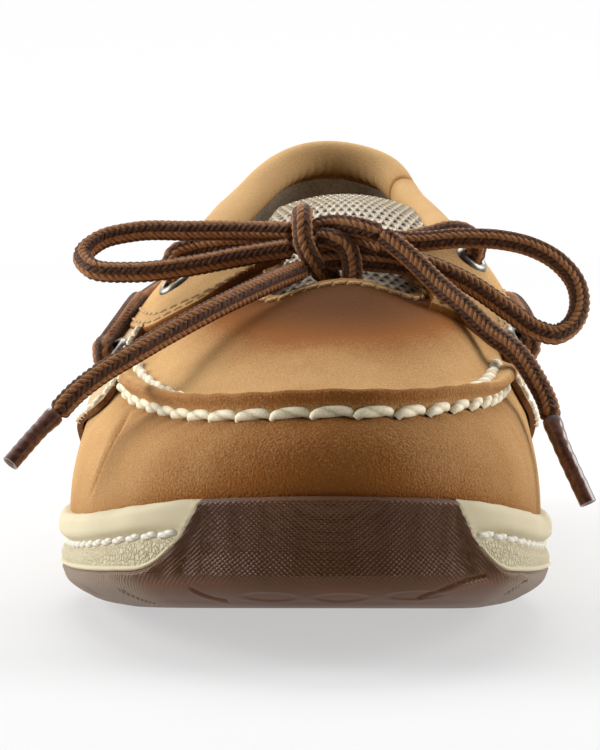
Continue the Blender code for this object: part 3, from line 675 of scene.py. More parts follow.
@dataclass
class Last:
    """The shoe's form: the same curves round the shoe as in part.py, in millimetres."""

    length: float = 258.0
    ball_width: float = 94.0
    heel_rim: float = 27.0
    upper_rise: float = 51.0
    toe_spring: float = 11.5
    arch_rise: float = 1.5
    heel_bevel: float = 2.5
    feather_inset: float = 2.0
    gap: float = 0.3
    wall_turn: float = math.radians(75)
    heel_flat: tuple[float, float] = (0.03, 0.29)
    ball_flat: tuple[float, float] = (0.55, 0.66)
    bumper_start: float = 0.915
    bumper_full: float = 0.969
    bumper_power: float = 2.6
    outsole_thickness: float = 7.8
    toe_thinning: float = 0.18
    spring_power: float = 1.2
    rim_table: tuple = (
        (0.00, 1.00), (0.10, 0.98), (0.20, 0.935), (0.30, 0.89), (0.40, 0.825), (0.50, 0.755),
        (0.60, 0.705), (0.67, 0.69), (0.74, 0.72), (0.82, 0.80), (0.89, 0.91), (0.95, 1.035), (1.00, 1.12))

    def __post_init__(self) -> None:
        """Lay out the curves' control points."""
        at, out, seam_at, seam_out, seam_rise, top_at, top_out, top_rise, crown = np.array(SECTIONS).T
        self.outline = np.column_stack([out * self.ball_width, at * self.length])
        steps = np.linalg.norm(np.diff(self.outline, axis=0, append=self.outline[:1]), axis=1)
        self.knots = np.concatenate(([0.0], np.cumsum(steps)[:-1])) / steps.sum()
        fine = closed_curve(self.outline, self.knots, np.arange(720) / 720)
        self.middle = (fine[:, 0].min() + fine[:, 0].max()) / 2
        rim = self.rim(at)
        self.seam_rows = self.place(seam_out, seam_at, rim + seam_rise * self.upper_rise)
        self.top_rows = self.place(top_out, top_at, rim + top_rise * self.upper_rise)
        self.crown_rows = crown[:, None] * self.upper_rise

    def place(self, out: np.ndarray, at: np.ndarray, height: np.ndarray) -> np.ndarray:
        """Frame points of table shares and heights."""
        return np.column_stack([out * self.ball_width - self.middle, self.length * (0.5 - at), height])

    def rim(self, at: np.ndarray) -> np.ndarray:
        """Height of the sole's top edge at shares of the length."""
        return smooth_row(self.rim_table, at) * self.heel_rim

    def ground(self, at: np.ndarray) -> np.ndarray:
        """Height of the tread at shares of the length.

        Args:
            at: shares of the length from the heel.

        Returns:
            The heights.
        """
        at = np.clip(at, 0.0, 1.0)
        heel = np.clip(1 - at / self.heel_flat[0], 0, 1) ** 2 * self.heel_bevel
        waist = np.clip((at - self.heel_flat[1]) / (self.ball_flat[0] - self.heel_flat[1]), 0, 1)
        toe = np.clip((at - self.ball_flat[1]) / (1 - self.ball_flat[1]), 0, 1) ** self.spring_power
        return heel + np.sin(waist * math.pi) ** 2 * self.arch_rise + toe * self.toe_spring

    def parting(self, at: np.ndarray) -> np.ndarray:
        """Height where brown rubber meets cream; it climbs past the rim at the toe.

        Args:
            at: shares of the length from the heel.

        Returns:
            The heights.
        """
        climb = (at - self.bumper_start) / (self.bumper_full - self.bumper_start)
        climb = np.clip(climb, 0, 1) ** self.bumper_power
        share = (at - self.ball_flat[1]) / (self.bumper_start - self.ball_flat[1])
        plain = self.ground(at) + self.outsole_thickness * (1 - self.toe_thinning * ease(share))
        return plain + climb * (self.rim(at) + 1.8 - plain)

    def u_of(self, section) -> np.ndarray:
        """Curve parameter of places between sections; negative ones count back from the heel."""
        knots = np.append(self.knots, 1.0)
        section = np.asarray(section, float)
        return np.interp(np.mod(section, COUNT), np.arange(COUNT + 1), knots) + np.floor(section / COUNT)

    def plan(self, u: np.ndarray, inset) -> tuple[np.ndarray, np.ndarray, np.ndarray]:
        """Sole outline drawn in by inset: X, Y and the share of the length.

        Args:
            u: curve parameters.
            inset: how far inside the outline, for each or for all.

        Returns:
            X, Y and the share of the length.
        """
        here = closed_curve(self.outline, self.knots, u)
        run = closed_curve(self.outline, self.knots, u + 0.002)
        run = run - closed_curve(self.outline, self.knots, u - 0.002)
        inward = unit(np.column_stack([run[:, 1], -run[:, 0]]))
        here = here + inward * np.reshape(inset, (-1, 1))
        return here[:, 0] - self.middle, self.length / 2 - here[:, 1], here[:, 1] / self.length

    def base(self, u: np.ndarray, v: np.ndarray) -> np.ndarray:
        """Point of the plain upper: v runs 0 at the sole, 1 at the seam, 2 at the top edge.

        Args:
            u: curve parameters.
            v: heights, of the same shape.

        Returns:
            The points.
        """
        shape = np.shape(u)
        u, v = np.ravel(u), np.ravel(v)
        x, y, at = self.plan(u, self.feather_inset)
        low = np.column_stack([x, y, self.rim(at) + self.gap])
        seam = closed_curve(self.seam_rows, self.knots, u)
        turn = self.wall_turn * np.clip(v, 0, 1)
        lean = ((1 - np.cos(turn)) / (1 - math.cos(self.wall_turn)))[:, None]
        climb = (np.sin(turn) / math.sin(self.wall_turn))[:, None]
        wall = low + (seam - low) * np.hstack([lean, lean, climb])
        share = np.maximum(v - 1, 0)[:, None]
        top = closed_curve(self.top_rows, self.knots, u)
        crown = closed_curve(self.crown_rows, self.knots, u)
        chord = top - seam
        length = np.linalg.norm(chord, axis=1)[:, None]
        run = np.linalg.norm(chord[:, :2], axis=1)[:, None]
        outward = np.column_stack([-chord[:, :2] / run * chord[:, 2:], run]) / length
        crowned = seam + chord * share + outward * crown * 4 * share * (1 - share)
        return np.where(v[:, None] <= 1, wall, crowned).reshape(*shape, 3)

    def normal(self, u: np.ndarray, v: np.ndarray) -> np.ndarray:
        """Outward direction of the plain upper.

        Args:
            u: curve parameters.
            v: heights, of the same shape.

        Returns:
            Unit vectors.
        """
        low, high = np.clip(v - 0.02, 0, 2), np.clip(v + 0.02, 0, 2)
        across = self.base(u, high) - self.base(u, low)
        around = self.base(u + 0.003, v) - self.base(u - 0.003, v)
        return unit(np.cross(around, across))

    def reach(self, u: np.ndarray) -> np.ndarray:
        """Distance from seam to top edge."""
        seam = closed_curve(self.seam_rows, self.knots, np.ravel(u))
        top = closed_curve(self.top_rows, self.knots, np.ravel(u))
        return np.linalg.norm(top - seam, axis=1).reshape(np.shape(u))

    def ridge_strength(self, u: np.ndarray) -> np.ndarray:
        """How strongly the moccasin ridge shows: 1 round the toe, 0 at the sides."""
        seam = closed_curve(self.seam_rows, self.knots, np.ravel(u))
        at = (0.5 - seam[:, 1] / self.length).reshape(np.shape(u))
        return ease((at - 0.665) / 0.065)


LAST = Last()


@dataclass
class Studio:
    """Pale floor, soft light and the camera of the photo: low, in front of the toe."""

    camera_at: tuple[float, float, float] = (6.9, -729.0, 101.5)
    pitch: float = 4.8
    yaw: float = 0.642
    lens: float = 171.4
    aim: tuple[float, float, float] = (0.0, -30.0, 40.0)
    lamps: tuple = (("top", (-40.0, 470.0, 800.0), (900.0, 520.0), 7.4),
                    ("left", (-880.0, 40.0, 330.0), (700.0, 600.0), 11.5),
                    ("right", (880.0, 40.0, 330.0), (700.0, 600.0), 7.8))
    floor_size: float = 6000.0
    flat_share: float = 0.6
    glow: tuple[float, float] = (0.52, 0.86)
    glow_reach: tuple[float, float] = (0.25, 1.6)
    surround: tuple[float, float] = (0.05, 0.62)
    front_and_back: tuple[float, float] = (-0.75, 0.15)

    def build(self) -> None:
        """Set up floor, world, lights and camera."""
        self.add_sweep()
        self.add_world()
        for lamp in self.lamps:
            self.add_light(*lamp)
        self.add_camera()
        bpy.context.scene.view_settings.view_transform = "Standard"

    def add_sweep(self) -> None:
        """Near-white paper that lies flat under the shoe and bends up far behind it."""
        half = self.floor_size * METRES / 2
        bend = half * 0.4
        line = [(-half, 0.0)]
        line += [(half * self.flat_share + bend * math.sin(a), bend * (1 - math.cos(a)))
                 for a in np.linspace(0, math.pi / 2, 24)]
        line.append((half, half * 1.5))
        points = [(x, y, z) for y, z in line for x in (-half * 1.5, half * 1.5)]
        faces = [(2 * i, 2 * i + 1, 2 * i + 3, 2 * i + 2) for i in range(len(line) - 1)]
        mesh = bpy.data.meshes.new("sweep")
        mesh.from_pydata(points, [], faces)
        mesh.shade_smooth()
        paper = bpy.data.materials.new("matt_paper")
        paper.use_nodes = True
        tree = paper.node_tree
        far = add_node(tree, "VectorMath", (add_node(tree, "TexCoord", out="Object"),), "Value",
                       operation="LENGTH")
        glow = add_node(tree, "MapRange", (far, *self.glow_reach, *self.glow))
        set_inputs(tree.nodes["Principled BSDF"],
             {"Base Color": linear("8E8E8E"), "Roughness": 0.95, "Specular IOR Level": 0.1,
              "Emission Color": linear("FFFFFF"), "Emission Strength": glow})
        mesh.materials.append(paper)
        link("sweep", mesh)

    def add_world(self) -> None:
        """Surroundings that are white behind and beside the shoe and dim in front of it."""
        world = bpy.data.worlds.new("studio_surround")
        world.use_nodes = True
        tree = world.node_tree
        towards = add_node(tree, "TexCoord", out="Generated")
        depth = add_node(tree, "SeparateXYZ", (towards,), "Y")
        light = add_node(tree, "MapRange", (depth, *self.front_and_back, *self.surround),
                         interpolation_type="SMOOTHSTEP")
        set_inputs(tree.nodes["Background"], {"Strength": light, "Color": linear("FFFFFF")})
        bpy.context.scene.world = world

    def add_light(self, name: str, at: tuple, size: tuple, watts: float) -> None:
        """Large soft lamp that looks at the shoe.

        Args:
            name: name of the lamp.
            at: its place in millimetres.
            size: width and height of its face in millimetres.
            watts: its power.
        """
        lamp = bpy.data.lights.new(name, "AREA")
        lamp.shape = "RECTANGLE"
        lamp.size = size[0] * METRES
        lamp.size_y = size[1] * METRES
        lamp.energy = watts
        made = link(name, lamp)
        made.location = [v * METRES for v in at]
        x, y, z = np.array(self.aim) - np.array(at)
        made.rotation_euler = (math.atan2(math.hypot(x, y), -z), 0.0, math.atan2(-x, y))

    def add_camera(self) -> None:
        """Camera at the photo's viewing angle."""
        eye = bpy.data.cameras.new("camera")
        eye.lens = self.lens
        eye.sensor_width = 36.0
        eye.clip_start = 0.05
        made = link("camera", eye)
        made.location = [v * METRES for v in self.camera_at]
        made.rotation_euler = Euler((math.radians(90 - self.pitch), 0.0, math.radians(self.yaw)))
        bpy.context.scene.camera = made


def even_points(route, step: float) -> np.ndarray:
    """Evenly spaced points on the smooth curve through a route.

    Args:
        route: the points that the curve passes.
        step: wanted spacing.

    Returns:
        The points, first and last ones included.
    """
    route = np.asarray(route, float)
    knots = arc_lengths(route)
    fine = np.linspace(0, knots[-1], 24 * len(route))
    run = arc_lengths(open_curve(route, knots, fine))
    count = max(3, int(round(run[-1] / step)) + 1)
    return open_curve(route, knots, np.interp(np.linspace(0, run[-1], count), run, fine))


def inward_rings(u: np.ndarray, inset: float, end: float, window: float, shares: np.ndarray) -> tuple:
    """Lay rings from the sole's middle line out to its outline.

    Args:
        u: curve parameters round the shoe.
        inset: inset of the outermost ring.
        end: distance from toe and heel at which the middle line ends.
        window: reach along the shoe in which both sides are looked for.
        shares: how far out each ring lies.

    Returns:
        X and Y of the rings, and the outline's Y, left X and right X.
    """
    x, y, _ = LAST.plan(u, inset)
    spine_y = np.clip(y, y.min() + end, y.max() - end)
    near = [x[np.abs(y - v) < window] for v in spine_y]
    left, right = np.array([row.min() for row in near]), np.array([row.max() for row in near])
    spine = np.stack([(left + right) / 2, spine_y], -1)
    return spine + shares[:, None, None] * (np.stack([x, y], -1) - spine), spine_y, left, right


def carried_frames(path: np.ndarray, up=UP) -> tuple[np.ndarray, np.ndarray]:
    """Frames carried along a path with as little turn as possible.

    Args:
        path: points of the path.
        up: direction that the first frame's rise leans to.

    Returns:
        Sideways directions and rises.
    """
    tangent = unit(np.gradient(path, axis=0))
    rise = np.zeros_like(path)
    lean = np.asarray(up, float)
    if abs(tangent[0] @ lean) > 0.95:
        lean = np.array([1.0, 0.0, 0.0])
    for i, along in enumerate(tangent):
        rise[i] = lean = unit(lean - along * (along @ lean))
    return unit(np.cross(tangent, rise)), rise


def swept(path: np.ndarray, radii: np.ndarray, up=UP) -> np.ndarray:
    """Grid of points round a path.

    Args:
        path: centre points.
        radii: one radius for each point and direction.
        up: direction of the first column.

    Returns:
        Points, one row for each path point.
    """
    side, rise = carried_frames(path, up)
    turn = turns(radii.shape[1])[None, :, None]
    around = side[:, None] * np.sin(turn) + rise[:, None] * np.cos(turn)
    return path[:, None] + around * radii[..., None]


@dataclass(frozen=True)
class Thread:
    """Plied sewing thread laid as single stitches."""

    diameter: float
    plies: int = 2
    lay: float = 3.0
    sides: int = 10
    rings: int = 15

    def lay_stitch(self, piece: Piece, path: np.ndarray, outward: np.ndarray, thick: float = 1.0) -> None:
        """Add one stitch whose plies twist round its path.

        Args:
            piece: piece that collects the stitches.
            path: centre points from hole to hole.
            outward: direction away from the leather.
            thick: share of the thread's own diameter.
        """
        run = arc_lengths(path)[:, None]
        lobe = np.abs(np.cos(self.plies / 2 * (turns(self.sides)[None, :] - run / self.lay * TURN)))
        swell = 1 - 0.3 * np.abs(np.linspace(-1, 1, len(path)))[:, None] ** 6
        radii = self.diameter / 2 * thick * swell * (0.82 + 0.22 * lobe**0.7)
        # fold: painted shade in the hollows between the plies
        piece.add_grid(swept(path, radii, outward), wrap=True, fold=(1 - lobe) ** 2 * 0.8)

    def sew(self, piece: Piece, track: np.ndarray, outward: np.ndarray, pitch: float, fill: float = 0.75,
            lift: float = 0.0, slant: float = 0.0, depth: float = 1.0) -> None:
        """Sew a row of stitches along a track on the surface.

        Args:
            piece: piece that collects the stitches.
            track: points of the seam line.
            outward: surface directions at those points.
            pitch: length from stitch to stitch.
            fill: share of the pitch that a stitch covers; above 1 they overlap.
            lift: height of the thread's centre over the surface, in radii.
            slant: how far a stitch crosses the line from its start to its end.
            depth: how deep the ends dive, in diameters.
        """
        run = arc_lengths(track)
        count = max(1, int(round(run[-1] / pitch)))
        pitch = run[-1] / count
        sideways = unit(np.cross(outward, np.gradient(track, axis=0)))
        span = np.linspace(-0.5, 0.5, self.rings)
        arch = 1 - np.abs(2 * span) ** 7
        height = self.diameter * (lift / 2 - depth * (1 - arch))
        for i in range(count):
            where = (i + 0.5) * pitch + span * pitch * fill
            at, up, across = (read_rows(where, run, rows) for rows in (track, outward, sideways))
            up, across = unit(up), unit(across)
            path = at + up * height[:, None] + across * (span * slant)[:, None]
            self.lay_stitch(piece, path, up[0])


@dataclass
class Bow:
    """The tied lace: bar between the eyelets, knot, two loops, two ends and their tips."""

    diameter: float = 4.2
    rows: int = 8
    leg: float = 1.3
    slant: float = 1.0
    relief: float = 0.46
    sides: int = 40
    step: float = 0.24
    tip_diameter: float = 3.6
    tip_sides: int = 28
    gap: float = 0.3
    bar: tuple = (
        (-24.8, -14.6, 59.6), (-26.8, -15.3, 62.8), (-26.2, -15.3, 65.6), (-22.4, -15.4, 67.2),
        (-16.0, -17.8, 68.4), (-6.0, -21.5, 68.8), (7.0, -22.6, 68.4), (20.0, -21.5, 68.8),
        (25.2, -19.0, 69.8), (28.6, -17.4, 70.6), (32.2, -15.8, 69.9), (34.2, -14.8, 67.2),
        (32.6, -13.6, 63.4))
    lateral_loop: tuple = (
        (-2.1, -27.2, 70.8), (-12.6, -24.0, 70.9), (-23.2, -22.5, 70.8), (-33.7, -22.0, 70.6),
        (-40.5, -23.5, 69.0), (-43.6, -27.5, 66.2), (-41.6, -32.0, 63.8), (-33.4, -34.0, 63.2),
        (-23.0, -33.5, 64.3), (-12.5, -32.5, 66.2), (-2.3, -31.9, 67.8))
    medial_loop: tuple = (
        (14.1, -27.4, 69.6), (20.0, -27.0, 68.9), (31.4, -26.0, 69.5), (38.4, -26.0, 69.2),
        (44.8, -26.5, 67.7), (49.7, -28.0, 65.0), (53.2, -30.0, 60.6), (53.6, -32.5, 56.0),
        (51.6, -35.0, 52.6), (48.6, -36.5, 51.3), (45.4, -37.0, 52.1), (39.6, -37.2, 56.0),
        (32.8, -37.0, 60.7), (25.8, -36.0, 64.0), (20.0, -34.5, 65.8), (14.3, -33.0, 66.9))
    lateral_end: tuple = (
        (-0.5, -37.5, 64.0), (-8.5, -51.0, 61.3), (-18.2, -64.0, 57.2), (-26.2, -72.0, 53.2),
        (-30.8, -77.0, 50.7), (-36.9, -82.0, 47.2), (-41.2, -85.5, 43.9), (-44.3, -87.5, 40.6))
    medial_end: tuple = (
        (15.0, -37.2, 70.8), (20.6, -41.0, 66.4), (25.7, -45.0, 61.5), (30.7, -50.0, 57.4),
        (35.8, -55.0, 52.7), (40.6, -60.0, 49.1), (43.4, -64.0, 45.0), (45.6, -67.5, 40.4),
        (46.1, -69.5, 38.0))
    tips: dict = field(default_factory=lambda: {Side.LATERAL: (-52.2, -93.0, 32.1),
                                                Side.MEDIAL: (52.6, -76.0, 23.0)})
    wrap: tuple = (
        (4.0, -25.0, 67.0), (-0.6, -27.2, 71.6), (-0.4, -31.6, 74.6), (-0.4, -35.6, 73.0),
        (-0.2, -37.2, 69.6), (1.2, -37.4, 66.2), (3.2, -35.8, 63.4), (6.0, -32.6, 62.0))
    strand: tuple = (
        (3.0, -33.6, 70.0), (5.6, -36.0, 69.8), (8.2, -36.8, 68.2), (9.2, -37.2, 65.0), (9.3, -38.2, 61.8),
        (9.2, -39.8, 59.4))
    crossing: tuple = ((-0.5, -29.5, 70.2), (4.5, -32.2, 72.3), (9.8, -35.4, 72.2), (15.0, -37.2, 70.8))
    core: tuple = (
        (-2.3, -31.8, 67.8), (2.0, -32.4, 69.0), (6.5, -33.2, 69.4), (11.0, -33.6, 68.4),
        (14.6, -33.0, 66.9))
    back: tuple = ((-2.1, -27.2, 70.8), (3.5, -28.6, 70.6), (9.0, -28.4, 70.2), (14.1, -27.4, 69.6))
    under: tuple = (
        (-0.4, -37.3, 64.1), (3.5, -35.6, 65.5), (8.5, -34.2, 65.6), (14.0, -33.6, 65.2),
        (19.5, -33.4, 64.6), (24.0, -33.0, 63.8))

    def braided(self, name: str, route, step: float | None = None) -> tuple[Piece, np.ndarray]:
        """Braid a lace along a route.

        Args:
            name: name of the piece.
            route: points that it passes.
            step: spacing of its rings, or none for the bow's own.

        Returns:
            The piece, not yet built, and the even points of its centre line.
        """
        path = even_points(route, step or self.step)
        piece = Piece(name, LACE_YARN)
        sides = self.sides if step is None else self.sides * 4 // 5
        run, turn = np.meshgrid(arc_lengths(path), turns(sides), indexing="ij")
        column = (turn / TURN * self.rows + 0.02) % self.rows
        over = np.floor(column) % 2
        share = column % 1
        across = (run / self.leg + (1 - 2 * over) * self.slant * (share - 0.5) + 0.5 * over) % 1
        arch = np.sin(across * math.pi) ** 0.6 * (0.25 + 0.75 * np.sin(share * math.pi) ** 0.5)
        taper = 0.55 + 0.45 * ease(from_ends(len(path)) / 4)[:, None]
        points = swept(path, (self.diameter / 2 - self.relief * (1 - arch)) * taper)
        # gap: painted shade where the bundles dip between each other
        piece.add_grid(points, wrap=True, bundle=over, gap=ease((0.5 - arch) / 0.4), across=across)
        # the end caps take half of the painted gap shade
        for ring, flip in ((points[0], True), (points[-1], False)):
            piece.cap(ring, flip, gap=np.full(sides, 0.5))
        return piece, path

    def add_cord(self, name: str, route, far_end: str, *others) -> bpy.types.Object:
        """Args:
            name: CAD node that the stretch stands for.
            route: points that it passes.
            far_end: what its far end is; not used.
            *others: pieces on it; not used.

        Returns:
            The finished stretch.
        """
        piece, path = self.braided(name + "_braid", route)
        made = piece.build(name)
        length = arc_lengths(path)[-1]
        LOG.info("%s is %.0f mm long", name, length)
        return made

    def add_tip(self, side: Side, route) -> bpy.types.Object:
        """Film-wrapped tip on the end of a lace, with its cut face.

        Args:
            side: side of the shoe that the lace end lies on.
            route: points that the lace end passes.

        Returns:
            The finished tip.
        """
        end = even_points(route, 2 * self.diameter)
        away = unit(end[-1] - end[-2])
        first = end[-1] + away * self.gap
        path = even_points([first, first + away * self.tip_diameter, np.array(self.tips[side])], 0.5)
        piece = Piece("tip_film_" + side.word, LACE_TIP)
        share = np.linspace(0, 1, len(path))[:, None]
        squeeze = 1 - 0.12 * ease((share - 0.06) / 0.25) - 0.02 * np.cos(2 * turns(self.tip_sides))
        crimps = 0.03 * np.cos(share * TURN * 7) * (share < 0.85)
        points = swept(path, self.tip_diameter / 2 * (squeeze - crimps))
        piece.add_grid(points, wrap=True)
        rim = points[-1] * 0.86 + path[-1] * 0.14
        inner = points[-1] * 0.45 + path[-1] * 0.55 - unit(path[-1] - path[-2]) * 0.5
        piece.add_grid(np.array([points[-1], rim, inner]), wrap=True)
        piece.cap(inner)
        piece.cap(points[0], flip=True)
        return piece.build("aglet_" + side.word)

    def build(self) -> None:
        """Build bar, knot, loops, ends and tips."""
        self.braided("lace_bar_braid", self.bar)[0].build("lace_bar")
        knot = {}
        for part in ("wrap", "strand", "core", "back", "under", "crossing"):
            knot[part] = self.braided(f"knot_{part}_braid", getattr(self, part))[0].build("knot")
        self.add_cord("loop_lateral", self.lateral_loop, "object", knot["wrap"])
        self.add_cord("loop_medial", self.medial_loop, "object", knot["strand"])
        lateral_tip = self.add_tip(Side.LATERAL, self.lateral_end)
        medial_tip = self.add_tip(Side.MEDIAL, self.medial_end)
        self.add_cord("end_lateral", self.lateral_end, "fitting", lateral_tip)
        self.add_cord("end_medial", self.medial_end, "fitting", knot["crossing"], medial_tip)


def uneven(a: np.ndarray, b: np.ndarray, size: float) -> np.ndarray:
    """Smooth hand-made unevenness between -1 and 1, the same in each run.

    Args:
        a: first coordinate, in millimetres.
        b: second coordinate, in millimetres.
        size: size of the waves.

    Returns:
        The unevenness.
    """
    a, b = a / size, b / size
    total = np.sin(2.1 * a + 1.3) * np.cos(1.7 * b + 0.4)
    total += 0.6 * np.sin(4.3 * a + 3.1 * b + 2.0)
    total += 0.4 * np.cos(5.9 * b - 3.7 * a + 0.7)
    return total / 2


@dataclass
class Sole:
    """Cream sidewall with its stitched groove, and the gum outsole with toe bumper and tread."""

    lower_side: tuple = ((0.0, 12.0), (0.7, 8.5), (2.2, 5.0), (4.3, 1.9), (7.2, 0.4))
    upper_side: tuple = (
        (-9.2, 0.4), (-7.4, 0.45), (-6.8, 0.75), (-6.1, 1.4), (-5.0, 1.4), (-4.2, 0.3), (-2.2, -0.1),
        (-0.7, 0.2), (0.0, 0.9))
    wall_rows: tuple = (
        0.0, -0.2, -0.5, -0.9, -1.5, -2.2, -2.9, -3.5, -3.9, -4.2, -4.45, -4.7, -5.0, -5.5, -6.0, -6.3,
        -6.6, -7.0, -7.4)
    rib_reach: float = 9.2
    foot_reach: float = 7.2
    tread_inset: float = 12.0
    groove_width: float = 2.2
    groove_depth: float = 1.8
    groove_margin: float = 1.4
    groove_wave: float = 3.5
    groove_wavelength: float = 22.0
    heel_grooves: tuple = (0.08, 0.145, 0.21)
    ball_grooves: tuple = (0.575, 0.64, 0.705, 0.77, 0.835)
    siping_pitch: float = 5.2
    siping_depth: float = 0.7
    knurl_pitch: float = 1.05
    knurl_height: float = 0.4
    stitch_pitch: float = 5.0
    stitch_drop: float = 5.5
    fine_step: float = 0.25
    coarse_step: float = 0.8
    fine_from: float = 0.865
    sipes: tuple = (
        (-41.6, 3.9, -40.8, 2.2), (-34.1, 4.1, -31.6, 1.2), (-20.0, 4.7, -15.4, 2.3),
        (22.7, 3.0, 32.7, 6.9), (39.7, 2.9, 41.4, 5.4))
    ovals: tuple = ((-6.4, 3.1), (7.4, 3.0), (21.4, 3.4))
    oval_size: tuple[float, float] = (5.2, 0.9)

    def columns(self) -> tuple[np.ndarray, np.ndarray]:
        """Curve parameters of the columns: the coarse ones round the heel, the fine ones at the toe.

        Returns:
            The parameters of both stretches.
        """
        fine = np.linspace(0, 1, 6001)
        x, y, at = LAST.plan(fine, 0.0)
        run = arc_lengths(np.column_stack([x, y]))
        toe = np.flatnonzero(at > self.fine_from)
        first, last = toe[0], toe[-1]
        toe_count = int((run[last] - run[first]) / self.fine_step)
        bumper = np.interp(np.linspace(run[first], run[last], toe_count), run, fine)
        rest = run[-1] - run[last] + run[first]
        places = run[last] + np.linspace(0, rest, int(rest / self.coarse_step))
        return np.interp(np.mod(places, run[-1]), run, fine), bumper

    def ground(self, u: np.ndarray) -> np.ndarray:
        """Height of the tread's edge, which lies well inside the outline."""
        return LAST.ground(0.5 - LAST.plan(u, self.tread_inset)[1] / LAST.length)

    def side(self, u: np.ndarray, height: np.ndarray, extra=0.0) -> np.ndarray:
        """Point of the sole's side.

        Args:
            u: curve parameters, one for each point.
            height: heights of the points.
            extra: further inset.

        Returns:
            The points.
        """
        shape = u.shape
        u, height = u.ravel(), height.ravel()
        at = LAST.plan(u, 0.0)[2]
        ground, rim = self.ground(u), LAST.rim(at)
        bumper = ease((at - LAST.bumper_start) / (LAST.bumper_full - LAST.bumper_start))
        up, above = height - ground, height - rim
        low = smooth_row(self.lower_side, up)
        rib = smooth_row(self.upper_side, above)
        plain = 0.6 * (1 - np.clip(above, -self.rib_reach, 0) / self.rib_reach)
        high = rib * (1 - bumper) + plain * bumper
        room = np.maximum(rim - self.rib_reach - ground - self.foot_reach, 0.3)
        share = np.clip((up - self.foot_reach) / room, 0, 1)
        on_rib = above > -self.rib_reach
        share = np.where(rim - self.rib_reach < ground + self.foot_reach, on_rib * 1.0, share)
        foot = np.where(on_rib, np.maximum(low, high), low)
        inset = np.where(up >= self.foot_reach, low * (1 - share) + high * share, foot)
        x, y, _ = LAST.plan(u, inset + np.ravel(extra))
        return np.stack([x, y, height], -1).reshape(*shape, 3)

    def knurl(self, run: np.ndarray, height: np.ndarray) -> np.ndarray:
        """Share of the little pyramids' height on a diamond lattice.

        Args:
            run: length along the side.
            height: heights over the floor.

        Returns:
            The share.
        """
        across, up = run / self.knurl_pitch, height / (self.knurl_pitch * 0.82)
        first, second = (1 - np.abs(2 * (slanted % 1) - 1) for slanted in (across + up, across - up))
        return ease(np.minimum(first, second) * 1.15)

    def moulded(self, x: np.ndarray, up: np.ndarray, run: np.ndarray, height: np.ndarray,
                knurled: np.ndarray) -> np.ndarray:
        """Inset that the mould's details add to the rubber's side.

        Args:
            x: X of the columns.
            up: heights over the tread.
            run: length along the side.
            height: heights over the floor.
            knurled: strength of the knurl.

        Returns:
            The inset of each point.
        """
        extra = -self.knurl_height * self.knurl(run, height) * knurled
        for x0, h0, x1, h1 in self.sipes:
            line = np.array([x1 - x0, h1 - h0])
            length = np.linalg.norm(line)
            along = ((x - x0) * line[0] + (up - h0) * line[1]) / length**2
            off = ((x - x0) * line[1] - (up - h0) * line[0]) / length
            off = off + np.sin(np.clip(along, 0, 1) * math.pi) * 0.5 * np.sign(x0)
            inside = ease((along + 0.06) / 0.1) * ease((1.06 - along) / 0.1)
            extra += inside * (0.7 * bell(off, 0.34) - 0.15 * bell(off - 0.9, 0.4))
        for x0, h0 in self.ovals:
            far = np.hypot((x - x0) / self.oval_size[0], (up - h0) / self.oval_size[1])
            extra += 0.36 * ease((1.1 - far) / 0.3) - 0.05 * bell(far - 1.25, 0.15)
        return extra

    def add_rubber(self, name: str, u: np.ndarray, rows: int, knurled: float) -> None:
        """Add a stretch of the brown side up to the parting line.

        Args:
            name: name of the piece.
            u: parameters of its columns.
            rows: number of rows.
            knurled: strength of the knurl.
        """
        x, y, at = LAST.plan(u, 0.0)
        run = arc_lengths(np.column_stack([x, y]))[None, :]
        ground = self.ground(u)
        top = np.minimum(LAST.parting(at), LAST.rim(at) + 0.1)
        height = ground + np.linspace(0, 1, rows)[:, None] ** 0.9 * (top - ground)
        up, near = height - ground, top - height
        lip = -0.45 * ease((at - 0.88) / 0.02) * ease((3.2 - near) / 2.4) + 0.5 * ease((0.55 - near) / 0.55)
        fade = ease((up - 4.2) / 3.4) * ease((near - 0.1) / 0.9) * knurled
        fade = fade * ease((at - 0.86) / 0.05)
        grid_u = np.broadcast_to(u, height.shape)
        points = self.side(grid_u, height, self.moulded(x, up, run, height, fade) + lip)
        closing = self.side(grid_u[-1:], height[-1:] + 0.05, 3.0)
        level = np.concatenate([height, height[-1:]])
        run, hatched = (np.broadcast_to(row, level.shape) for row in (run, ease((0.935 - at) / 0.035)))
        grid = np.concatenate([points, closing])
        Piece(name, OUTSOLE_RUBBER).add_grid(grid, run=run, rise=level, hatched=hatched).build(
            "outsole", edge_angle=60.0)

    def add_tread(self, u: np.ndarray) -> None:
        """Add the underside with its wave grooves and fine sipes.

        Args:
            u: parameters of its columns.
        """
        flat, *sides = inward_rings(u, self.tread_inset, 26.0, 1.2, np.linspace(0, 1, 34))
        x, y = flat[..., 0], flat[..., 1]
        spine_y, left, right = (row[np.argsort(sides[0])] for row in sides)
        inside = np.minimum(x - np.interp(y, spine_y, left), np.interp(y, spine_y, right) - x)
        margin = ease((inside - self.groove_margin) / 0.8)
        far = 0.5 - y / LAST.length
        wave = np.sin(x / self.groove_wavelength * TURN) * self.groove_wave
        depth = np.zeros(far.shape)
        for place in self.heel_grooves + self.ball_grooves:
            off = np.abs(y - LAST.length * (0.5 - place) - wave)
            depth = np.maximum(depth, self.groove_depth * ease((self.groove_width / 2 + 0.35 - off) / 0.7))
        fine = ((y - wave) / self.siping_pitch) % 1
        sipe = self.siping_depth * ease((0.13 - np.abs(fine - 0.5)) / 0.06)
        waist = ease((np.abs(far - 0.42) - 0.12) / 0.02)
        depth = np.maximum(depth, sipe * waist * (depth < 0.3)) * margin
        grid = np.dstack([flat, LAST.ground(far) + depth])
        Piece("outsole_tread", OUTSOLE_RUBBER).add_grid(grid, wrap=True).build("outsole", edge_angle=50.0)

